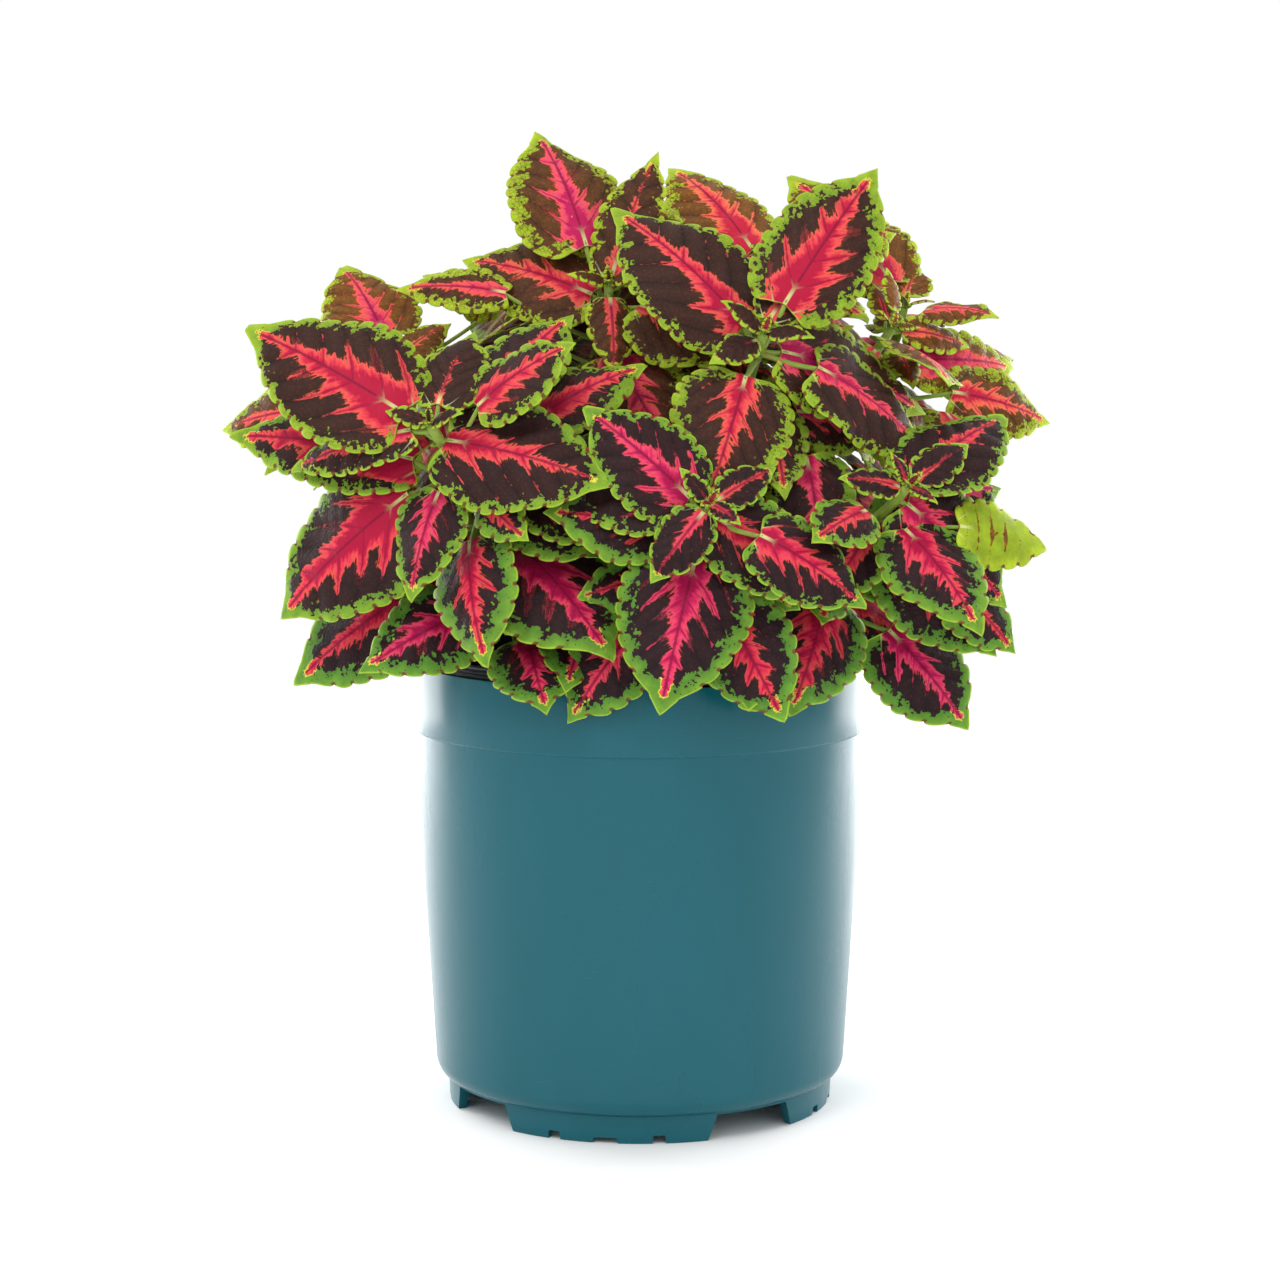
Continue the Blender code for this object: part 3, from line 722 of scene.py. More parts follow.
@dataclass(frozen=True)
class Seating:
    """Finds each planned leaf in the frame, where a crowded one was lifted, turned or shrunk."""

    scales: tuple[float, ...] = (1.0, 0.92, 0.82, 0.7, 0.58)
    lifts: tuple[int, ...] = (0, -8, 8, -16, 16)
    turns: tuple[int, ...] = (0, 9, -9)
    reach: float = 0.25 * MM

    def copies(self, leaf: Leaf) -> Iterator[Leaf]:
        """Yield the leaf in every state that the frame may hold.

        Args:
            leaf: the leaf's plan.

        Yields:
            Copies of the leaf.
        """
        for scale in self.scales:
            for lift in self.lifts:
                for turn in self.turns:
                    copy = Leaf(**vars(leaf))
                    copy.length *= scale
                    copy.width *= scale
                    copy.spread += lift
                    copy.turn += turn
                    yield copy

    def find(self, growth: Growth, shoot: Shoot, leaf: Leaf, route: list[Vector],
             tree: BVHTree) -> Blade | None:
        """Return the blade of a leaf as it stands in the frame.

        Args:
            growth: the plant's rule.
            shoot: the shoot's plan.
            leaf: the leaf's plan.
            route: the shoot's coarse route.
            tree: the tree of the frame's node.

        Returns:
            The blade, or None where the frame has no such leaf.
        """
        best, least = None, self.reach
        for copy in self.copies(leaf):
            blade = Blade.grow(growth, shoot, copy, route)
            probes, _ = blade.surface(np.array([1.0, 0.5, 0.25]), np.zeros(3))
            off = 0.0
            for probe in probes:
                found = tree.find_nearest(Vector(probe), 2 * MM)
                off = max(off, found[3] if found[0] else 1.0)
            off -= 0.4 * MM
            if off < least:
                best, least = blade, off
        return best


@dataclass(frozen=True)
class Tier:
    """A group of filling leaves that every shoot gets, in millimetres and degrees.

    Each range is of random draws. drop is how far below the tip a stalk starts, and lowest is the
    height that no leaf goes below. Leaves that hang have to end at the pot's rim or lower.
    """

    count: int
    length: tuple[float, float]
    drop: tuple[float, float]
    lowest: float
    hangs: bool = False
    spread: tuple[float, float] = (58, 106)
    stalk: tuple[float, float] = (8, 22)
    roll: tuple[float, float] = (-18, 18)
    broad: float = 0.74
    tries: int = 160

    def leaf(self, draw: random.Random) -> Leaf:
        """Return the plan of one leaf.

        Args:
            draw: the random numbers.

        Returns:
            The plan.
        """
        length = draw.uniform(*self.length)
        return Leaf(draw.uniform(0, 360), draw.uniform(*self.drop), draw.uniform(*self.stalk),
                    length, self.broad * length, draw.uniform(*self.spread),
                    roll=draw.uniform(*self.roll))


TIERS = (
    Tier(5, (40.0, 54.0), (8.0, 50.0), 172.0),
    Tier(3, (34.0, 46.0), (60.0, 110.0), 146.0, hangs=True, spread=(58, 128), tries=640),
    Tier(5, (28.0, 40.0), (18.0, 85.0), 172.0),
)

# Finishes


@dataclass
class LeafFields:
    """The markings of a blade's corners and the noises laid over them, as node outputs."""

    along: Any
    share: Any
    veins: Any
    rim: Any
    lobe: Any
    margin: Any
    reach: Any
    # how much of the painted backlight a leaf gets
    painted_backlight: Any
    length: Any
    place: Any
    seed: Any
    side: Any
    gap: Any
    size: Any
    patch: Any
    jag: Any

    @classmethod
    def read(cls, tree: bpy.types.NodeTree, patch: float, jag: float) -> "LeafFields":
        """Return the fields of a leaf in a material's tree.

        Args:
            tree: the material's tree.
            patch: the size of the coarse noise in millimetres.
            jag: the size of the fine noise in millimetres.

        Returns:
            The fields.
        """
        parts = []
        for name in ("blade", "edge", "tone"):
            mark = add(tree, "Attribute", attribute_name=name).outputs["Vector"]
            parts += list(add(tree, "SeparateXYZ", mark).outputs)
        place = add(tree, "Attribute", attribute_name="place").outputs["Vector"]
        spot = add(tree, "SeparateXYZ", place)
        side = add(tree, "Math", spot.outputs[1], operation="ABSOLUTE")
        gap = add(tree, "Math", parts[2], 0.5, operation="PINGPONG")
        size = span(tree, parts[8], 14.0, 52.0, 0.2, 1.0)
        coarse = add(tree, "TexNoise", place, Scale=1 / patch, Detail=2.0, Roughness=0.6)
        fine = add(tree, "TexNoise", place, Scale=1 / jag, Detail=2.0, Roughness=0.6)
        return cls(*parts, place, spot.outputs[2], side, gap, size, coarse, fine)


@dataclass(frozen=True)
class LeafTissue:
    """Coleus leaf, upper face: thin quilted tissue with a flame, a dark field and a green edge.

    It is downy, so its gloss is weak and broad. The flame runs out along the lateral veins,
    and the green edge is made up of the small cells between the finest veins, so it ends in a
    ragged line with stray islands. Leaves high on the plant and towards the back are painted
    lighter, in copies of their colours that stand for light shining through them from behind.
    The colour also holds painted shade in the vein grooves, a painted highlight on the quilted
    puffs and a painted highlight line along the edge.
    """

    name: str = "coleus leaf, upper face"
    dark: tuple[str, str] = ("#1a0b0f", "#371c21")
    # painted backlight: a lighter, warmer copy of the dark field, as if lit through from behind
    dark_painted_backlit: tuple[str, str] = ("#663a0c", "#a1671a")
    edge: tuple[str, str] = ("#6b9a30", "#4f7f2c")
    # painted backlight: a lighter copy of the green edge
    edge_painted_backlit: tuple[str, str] = ("#aec42a", "#8fa620")
    flame: tuple[tuple[float, str], ...] = (
        (0.0, "#8e2a20"), (0.14, "#dc4a44"), (0.36, "#e13b50"), (0.7, "#cc173f"),
        (1.0, "#a80a36"))
    # painted backlight: a lighter, more orange copy of the flame
    flame_painted_backlit: tuple[tuple[float, str], ...] = (
        (0.0, "#b04c1a"), (0.15, "#fa8454"), (0.45, "#f66c52"), (0.8, "#ea4a48"),
        (1.0, "#d0203e"))
    vein: str = "#7d0430"
    pale_vein: str = "#d6d58e"
    fringe: str = "#f0dc4e"
    # painted highlight along the blade's edge
    rim: str = "#a8c63a"
    notch: str = "#6d2a22"
    roughness: tuple[float, float] = (0.48, 0.66)
    gloss: float = 0.24
    # real sizes in millimetres
    patch: float = 5.0
    jag: float = 1.3
    cell: float = 1.5
    speck: float = 1.0
    net: float = 1.9
    strand: float = 1.2

    def build(self) -> bpy.types.Material:
        """Make the material.

        Returns:
            The new material.
        """
        material, tree = new_material(self.name)
        leaf = LeafFields.read(tree, self.patch, self.jag)
        net = add(tree, "TexVoronoi", leaf.place, feature="DISTANCE_TO_EDGE", Scale=1 / self.net)
        bend = add(tree, "VectorMath", leaf.jag, (0.5, 0.5, 0.5), operation="SUBTRACT")
        bend = add(tree, "VectorMath", bend, (1.4, 1.4, 0.0), operation="MULTIPLY")
        bend = add(tree, "VectorMath", leaf.place, bend, operation="ADD")
        cells = add(tree, "TexVoronoi", bend, Scale=1 / self.cell)
        drawn = add(tree, "SeparateColor", cells.outputs["Color"])
        walls = add(tree, "TexVoronoi", bend, feature="DISTANCE_TO_EDGE", Scale=1 / self.cell)
        depth = self._flame(tree, leaf, drawn)
        green = self._margin(tree, leaf, drawn, walls)

        plain = blend(tree, leaf.patch, *self.dark)
        # painted backlight: thin is the share of the lit-through copy, set by the leaf's place on
        # the plant
        lit = blend(tree, leaf.patch, *self.dark_painted_backlit)
        thin = add(tree, "Math", leaf.painted_backlight, 1.7, operation="POWER")
        colour = blend(tree, thin, plain, lit)
        # painted shade in the lateral vein grooves and along the fine vein net, and a painted
        # highlight on the quilted puffs between them
        crease_painted_shade = span(tree, leaf.gap, 0.0, 0.1, 0.62, 1.0)
        shade = span(tree, net.outputs["Distance"], 0.0, 0.22, 0.7, 1.0)
        shade = times(tree, shade, crease_painted_shade)
        puff_painted_highlight = span(tree, leaf.gap, 0.05, 0.5, 0.88, 1.2)
        shade = times(tree, shade, puff_painted_highlight)
        colour = blend(tree, 1.0, colour, shade, blend_type="MULTIPLY")

        outer = span(tree, leaf.rim, 0.3, 4.0, 0.0, 1.0)
        plain = blend(tree, outer, *self.edge)
        lit = blend(tree, outer, *self.edge_painted_backlit)
        # painted backlight on the green edge
        painted_backlight_edge_share = span(tree, leaf.painted_backlight, 0.0, 0.45, 0.0, 1.0)
        leafy = blend(tree, painted_backlight_edge_share, plain, lit)
        tint = span(tree, leaf.patch, 0.3, 0.7, 0.8, 1.2)
        leafy = blend(tree, 1.0, leafy, tint, blend_type="MULTIPLY")
        colour = blend(tree, green, colour, leafy)

        halo = span(tree, depth, -1.3, -0.2, 0.0, 1.0, soft=True)
        halo = times(tree, halo, green)
        central = span(tree, leaf.side, 2.5, 5.0, 1.0, 0.0)
        central = times(tree, central, leaf.size)
        halo = times(tree, halo, central)
        colour = blend(tree, halo, colour, self.fringe)
        colour = self._fire(tree, leaf, depth, colour)
        colour = self._pale_base(tree, leaf, colour)

        # painted highlight: a thin pale line along the blade's edge
        edge_painted_highlight = span(tree, leaf.rim, 0.25, 0.6, 0.8, 0.0)
        colour = blend(tree, edge_painted_highlight, colour, self.rim)
        cleft = span(tree, leaf.lobe, 0.35, 0.6, 1.0, 0.0)
        near = span(tree, leaf.rim, 0.8, 1.3, 0.9, 0.0)
        cleft = times(tree, cleft, near)
        colour = blend(tree, cleft, colour, self.notch)

        height = span(tree, net.outputs["Distance"], 0.0, 0.35, 0.0, 1.0, soft=True)
        bump = add(tree, "Bump", Strength=0.35, Distance=0.0002, Height=height)
        rough = span(tree, leaf.patch, 0.3, 0.7, *self.roughness)
        shader = add(tree, "BsdfPrincipled", Base_Color=colour, Roughness=rough, Normal=bump,
                     IOR=1.42, Specular_IOR_Level=self.gloss)
        finish_surface(tree, shader)
        return material

    def _flame(self, tree: bpy.types.NodeTree, leaf: LeafFields,
               drawn: bpy.types.Node) -> bpy.types.Node:
        """Return how many millimetres inside the flame a point lies.

        Args:
            tree: the material's tree.
            leaf: the leaf's fields.
            drawn: random numbers of the small cells.

        Returns:
            The depth's node, negative outside the flame.
        """
        out = add(tree, "Math", leaf.share, operation="ABSOLUTE")
        hand = add(tree, "Math", leaf.share, operation="SIGN")
        number = add(tree, "Math", leaf.veins, operation="ROUND")
        draw = add(tree, "TexWhiteNoise", add(tree, "CombineXYZ", number, hand, leaf.seed))
        draw = add(tree, "SeparateColor", draw.outputs["Color"])
        longest = span(tree, draw.outputs[0], 0.0, 1.0, 0.3, 0.95)
        fade = span(tree, leaf.along, 0.25, 0.85, 1.0, 0.2)
        longest = times(tree, longest, fade, leaf.reach)
        taper = add(tree, "Math", out, longest, operation="DIVIDE")
        taper = span(tree, taper, 0.0, 1.0, 1.0, 0.0)
        taper = add(tree, "Math", taper, 0.7, operation="POWER")
        wide = span(tree, draw.outputs[1], 0.0, 1.0, 0.34, 0.6)
        wide = times(tree, wide, leaf.reach, taper)
        finger = add(tree, "Math", wide, leaf.gap, operation="SUBTRACT")
        finger = add(tree, "Math", finger, 0.06, operation="SUBTRACT")
        pitch = add(tree, "Math", leaf.length, VEIN_COUNT, operation="DIVIDE")
        finger = times(tree, finger, pitch)
        body = add(tree, "Math", 1.0, leaf.along, operation="SUBTRACT")
        body = add(tree, "Math", body, 1.7, operation="POWER")
        body = add(tree, "Math", body, 0.15, 0.017, operation="MULTIPLY_ADD")
        body = times(tree, body, leaf.length, leaf.reach)
        body = add(tree, "Math", body, leaf.side, operation="SUBTRACT")
        depth = add(tree, "Math", finger, body, 1.2, operation="SMOOTH_MAX")
        across = times(tree, leaf.veins, pitch)
        outward = times(tree, leaf.side, 0.16)
        apart = add(tree, "Math", hand, 40.0, leaf.seed, operation="MULTIPLY_ADD")
        strands = add(tree, "TexNoise", add(tree, "CombineXYZ", across, outward, apart),
                      Scale=1 / self.strand, Detail=2.0, Roughness=0.6)
        for noise_field, spread in ((leaf.patch, 3.0), (strands, 2.6), (leaf.jag, 0.7),
                                    (drawn.outputs[1], 0.2)):
            rough = span(tree, noise_field, 0.0, 1.0, -spread, spread)
            rough = times(tree, rough, leaf.size)
            depth = add(tree, "Math", depth, rough, operation="ADD")
        plain = span(tree, leaf.reach, 0.2, 0.5, 5.0, 0.0)
        depth = add(tree, "Math", depth, plain, operation="SUBTRACT")
        end = span(tree, leaf.along, 0.87, 1.0, 0.0, 7.0)
        depth = add(tree, "Math", depth, end, operation="SUBTRACT")
        inward = add(tree, "Math", leaf.rim, leaf.margin, operation="SUBTRACT")
        held = span(tree, inward, -0.5, 2.5, 4.0, 0.0)
        aside = span(tree, leaf.side, 1.5, 4.0, 0.0, 1.0)
        held = times(tree, held, aside)
        return add(tree, "Math", depth, held, operation="SUBTRACT")

    def _fire(self, tree: bpy.types.NodeTree, leaf: LeafFields, depth: bpy.types.Node,
              ground: bpy.types.Node) -> bpy.types.Node:
        """Return the colour with the flame laid over it.

        Args:
            tree: the material's tree.
            leaf: the leaf's fields.
            depth: how far inside the flame a point lies.
            ground: the colour below.

        Returns:
            The new colour's node.
        """
        core = span(tree, depth, 0.0, 3.6, 0.0, 1.0)
        near = span(tree, leaf.gap, 0.0, 0.12, 0.22, 0.0)
        core = add(tree, "Math", core, near, operation="ADD")
        # painted backlight: the flame's lit-through copy is blended in below
        plain = paint_ramp(add(tree, "ValToRGB", core), list(self.flame))
        lit = paint_ramp(add(tree, "ValToRGB", core), list(self.flame_painted_backlit))
        fire = blend(tree, leaf.painted_backlight, plain, lit)
        turn = add(tree, "TexWhiteNoise", leaf.seed, noise_dimensions="1D")
        turn = span(tree, turn.outputs["Value"], 0.5, 1.0, 0.5, 0.48)
        fire = add(tree, "HueSaturation", Hue=turn, Color=fire)
        line = span(tree, leaf.gap, 0.015, 0.05, 0.5, 0.0, soft=True)
        rib = span(tree, leaf.side, 0.25, 0.7, 0.75, 0.0, soft=True)
        line = add(tree, "Math", line, rib, operation="MAXIMUM")
        fire = blend(tree, line, fire, self.vein)
        mask = span(tree, depth, -0.3, 0.3, 0.0, 1.0)
        return blend(tree, mask, ground, fire)

    def _pale_base(self, tree: bpy.types.NodeTree, leaf: LeafFields,
                   ground: bpy.types.Node) -> bpy.types.Node:
        """Return the colour with the pale veins at the leaf's base laid over it.

        Args:
            tree: the material's tree.
            leaf: the leaf's fields.
            ground: the colour below.

        Returns:
            The new colour's node.
        """
        base = span(tree, leaf.along, 0.03, 0.16, 1.0, 0.0, soft=True)
        thick = span(tree, leaf.side, 0.4, 0.9, 1.0, 0.0, soft=True)
        short = span(tree, leaf.side, 2.0, 8.0, 1.0, 0.0)
        thin = span(tree, leaf.gap, 0.02, 0.06, 1.0, 0.0, soft=True)
        thin = times(tree, thin, short)
        pale = add(tree, "Math", thick, thin, operation="MAXIMUM")
        pale = times(tree, pale, base)
        return blend(tree, pale, ground, self.pale_vein)

    def _margin(self, tree: bpy.types.NodeTree, leaf: LeafFields, drawn: bpy.types.Node,
                walls: bpy.types.Node) -> bpy.types.Node:
        """Return the mask of the green edge.

        Args:
            tree: the material's tree.
            leaf: the leaf's fields.
            drawn: random numbers of the small cells.
            walls: how far the nearest wall between those cells is.

        Returns:
            The mask's node.
        """
        far = add(tree, "Math", leaf.margin, leaf.rim, operation="SUBTRACT")
        inside = span(tree, leaf.rim, 0.3, 1.6, 0.0, 1.0)
        for noise_field, spread in ((leaf.patch, 5.0), (leaf.jag, 1.8), (drawn.outputs[0], 1.9)):
            rough = span(tree, noise_field, 0.0, 1.0, -spread, spread)
            rough = times(tree, rough, inside, leaf.size)
            far = add(tree, "Math", far, rough, operation="ADD")
        cut = span(tree, leaf.lobe, 0.2, 0.6, 2.6, 0.0)
        blunt = span(tree, leaf.along, 0.82, 0.9, 1.0, 0.0)
        # the notch cuts and the threads in the green edge grow with the painted backlight
        cut = times(tree, cut, blunt, leaf.painted_backlight, inside)
        far = add(tree, "Math", far, cut, operation="SUBTRACT")
        mask = span(tree, far, -0.1, 0.1, 0.0, 1.0)
        thread = span(tree, walls.outputs["Distance"], 0.04, 0.1, 1.0, 0.0)
        thread = times(tree, thread, leaf.painted_backlight, inside, blunt)
        dots = add(tree, "TexVoronoi", leaf.place, Scale=1 / self.speck)
        chance = add(tree, "SeparateColor", dots.outputs["Color"])
        chance = add(tree, "Math", chance.outputs[0], 0.86, operation="GREATER_THAN")
        dots = span(tree, dots.outputs["Distance"], 0.2, 0.3, 1.0, 0.0)
        dots = times(tree, dots, chance)
        wide = span(tree, leaf.margin, 2.2, 3.2, 0.0, 1.0)
        plain = span(tree, leaf.margin, 8.5, 9.5, 1.0, 0.0)
        dots = times(tree, dots, wide, plain)
        thread = times(tree, thread, plain)
        dots = times(tree, dots, inside)
        hidden = add(tree, "Math", thread, dots, operation="MAXIMUM")
        shown = add(tree, "Math", 1.0, hidden, operation="SUBTRACT")
        return times(tree, mask, shown)


@dataclass(frozen=True)
class LeafBack:
    """Coleus leaf, lower face: matt and paler, with raised pale veins and a soft green edge."""

    name: str = "coleus leaf, lower face"
    dark: tuple[str, str] = ("#40262b", "#5c3a42")
    flame: str = "#99404f"
    green: str = "#6f9344"
    vein: str = "#98a064"
    patch: float = 5.0
    jag: float = 1.3
    net: float = 1.9

    def build(self) -> bpy.types.Material:
        """Make the material.

        Returns:
            The new material.
        """
        material, tree = new_material(self.name)
        leaf = LeafFields.read(tree, self.patch, self.jag)
        out = add(tree, "Math", leaf.share, operation="ABSOLUTE")
        net = add(tree, "TexVoronoi", leaf.place, feature="DISTANCE_TO_EDGE", Scale=1 / self.net)
        colour = blend(tree, leaf.patch, *self.dark)
        wide = span(tree, leaf.along, 0.0, 0.95, 0.5, 0.0)
        inner = add(tree, "Math", wide, out, operation="SUBTRACT")
        inner = span(tree, inner, -0.12, 0.12, 0.0, 0.8)
        colour = blend(tree, inner, colour, self.flame)
        far = add(tree, "Math", leaf.margin, leaf.rim, operation="SUBTRACT")
        ragged = span(tree, leaf.jag, 0.0, 1.0, -2.0, 2.0)
        far = add(tree, "Math", far, ragged, operation="ADD")
        green = span(tree, far, -0.8, 0.8, 0.0, 0.9)
        colour = blend(tree, green, colour, self.green)
        line = span(tree, leaf.gap, 0.03, 0.07, 0.6, 0.0)
        rib = span(tree, leaf.side, 0.5, 1.1, 0.9, 0.0)
        line = add(tree, "Math", line, rib, operation="MAXIMUM")
        fine = span(tree, net.outputs["Distance"], 0.0, 0.08, 0.3, 0.0)
        line = add(tree, "Math", line, fine, operation="MAXIMUM")
        colour = blend(tree, line, colour, self.vein)
        bump = add(tree, "Bump", Strength=0.4, Distance=0.0003, Height=net.outputs["Distance"],
                   invert=True)
        shader = add(tree, "BsdfPrincipled", Base_Color=colour, Roughness=0.7, Normal=bump,
                     IOR=1.4, Specular_IOR_Level=0.25)
        finish_surface(tree, shader)
        return material


@dataclass(frozen=True)
class StemSkin:
    """Coleus stem and petiole: juicy, finely downy, with paler streaks along it and a red stain.
    """

    name: str = "coleus stem skin"
    pale: str = "#a3b94c"
    deep: str = "#6f8f33"
    stain: str = "#8a4a3c"
    fibre: float = 0.5
    blotch: float = 7.0

    def build(self) -> bpy.types.Material:
        """Make the material.

        Returns:
            The new material.
        """
        material, tree = new_material(self.name)
        place = add(tree, "Attribute", attribute_name="place").outputs["Vector"]
        long = add(tree, "Mapping", place, Scale=(0.15, 1.0, 1.0))
        fibre = add(tree, "TexNoise", long, Scale=1 / self.fibre, Detail=2.0)
        blotch = add(tree, "TexNoise", place, Scale=1 / self.blotch, Detail=3.0)
        colour = blend(tree, fibre, self.deep, self.pale)
        red = span(tree, blotch, 0.55, 0.75, 0.0, 0.5)
        colour = blend(tree, red, colour, self.stain)
        bump = add(tree, "Bump", Strength=0.4, Distance=0.0002, Height=fibre)
        shader = add(tree, "BsdfPrincipled", Base_Color=colour, Roughness=0.5, Normal=bump,
                     IOR=1.4)
        finish_surface(tree, shader)
        return material


@dataclass(frozen=True)
class MouldedPlastic:
    """Injection moulded polypropylene: satin, with faint flow marks and handling scuffs."""

    name: str
    body: str
    cloud: str
    roughness: tuple[float, float] = (0.2, 0.3)
    grain: float = 0.35
    flow: float = 26.0
    streak: float = 9.0
    worn: str = "#b9c6c8"
    gloss: float = 0.3

    def build(self) -> bpy.types.Material:
        """Make the material.

        Returns:
            The new material.
        """
        material, tree = new_material(self.name)
        place = add(tree, "TexCoord").outputs["Object"]
        tall = add(tree, "Mapping", place, Scale=(1.0, 1.0, 0.3))
        flow = add(tree, "TexNoise", tall, Scale=1 / (self.flow * MM), Detail=3.0)
        grain = add(tree, "TexNoise", place, Scale=1 / (self.grain * MM), Detail=2.0)
        scuff = add(tree, "Mapping", place, Scale=(1.0, 1.0, 9.0))
        scuff = add(tree, "TexNoise", scuff, Scale=1 / (self.streak * MM), Detail=6.0,
                    Roughness=0.7)
        worn = span(tree, scuff, 0.66, 0.85, 0.0, 0.1)
        colour = blend(tree, flow, self.body, self.cloud)
        colour = blend(tree, worn, colour, self.worn)
        gloss = span(tree, flow, 0.35, 0.65, *self.roughness)
        gloss = add(tree, "Math", gloss, worn, operation="ADD")
        bump = add(tree, "Bump", Strength=0.22, Distance=0.00006, Height=grain)
        shader = add(tree, "BsdfPrincipled", Base_Color=colour, Roughness=gloss, Normal=bump,
                     IOR=1.5, Specular_IOR_Level=self.gloss)
        finish_surface(tree, shader)
        return material


@dataclass(frozen=True)
class Crumb:
    """Part of a potting mix: dry crumbs of peat or bark, or white expanded perlite."""

    name: str
    colours: tuple[str, str]
    grain: float
    roughness: float = 0.95

    def build(self) -> bpy.types.Material:
        """Make the material.

        Returns:
            The new material.
        """
        material, tree = new_material(self.name)
        place = add(tree, "TexCoord").outputs["Object"]
        grain = add(tree, "TexNoise", place, Scale=1 / (self.grain * MM), Detail=5.0,
                    Roughness=0.7)
        coarse = add(tree, "TexNoise", place, Scale=1 / (6 * self.grain * MM), Detail=2.0)
        mixed = times(tree, grain, coarse)
        mixed = span(tree, mixed, 0.12, 0.42, 0.0, 1.0)
        colour = blend(tree, mixed, *self.colours)
        bump = add(tree, "Bump", Strength=0.9, Distance=0.0006, Height=grain)
        shader = add(tree, "BsdfPrincipled", Base_Color=colour, Roughness=self.roughness,
                     Normal=bump)
        finish_surface(tree, shader)
        return material


# The pieces


@dataclass
class Skin:
    """Gathers points, faces, slots and markings of one leafy stem."""

    points: list[np.ndarray] = field(default_factory=list)
    faces: list[tuple[int, ...]] = field(default_factory=list)
    slots: list[int] = field(default_factory=list)
    marks: dict[str, list[np.ndarray]] = field(default_factory=lambda: {
        "blade": [], "edge": [], "tone": [], "place": []})
    count: int = 0

    def add(self, points: np.ndarray, faces: np.ndarray, slot: np.ndarray,
            marks: dict[str, np.ndarray]) -> None:
        """Add one sheet or tube.

        Args:
            points: its corners.
            faces: its quads, with a corner repeated in a triangle.
            slot: the material slot of each face.
            marks: rows of markings for each corner.
        """
        for face in (faces + self.count).tolist():
            row = tuple(dict.fromkeys(face))
            self.faces.append(row)
        self.slots += slot.tolist()
        self.points.append(points)
        for name, rows in self.marks.items():
            rows.append(marks.get(name, np.zeros((len(points), 3))))
        self.count += len(points)

    def piece(self, name: str, materials: list[bpy.types.Material]) -> bpy.types.Object:
        """Return the mesh object with its markings.

        Args:
            name: the piece's name.
            materials: its materials by slot.

        Returns:
            The new object.
        """
        piece = mesh_piece(name, np.concatenate(self.points), self.faces, np.array(self.slots))
        for material in materials:
            piece.data.materials.append(material)
        for mark, rows in self.marks.items():
            layer = piece.data.attributes.new(mark, "FLOAT_VECTOR", "POINT")
            layer.data.foreach_set("vector", np.concatenate(rows).astype(np.float32).ravel())
        return piece


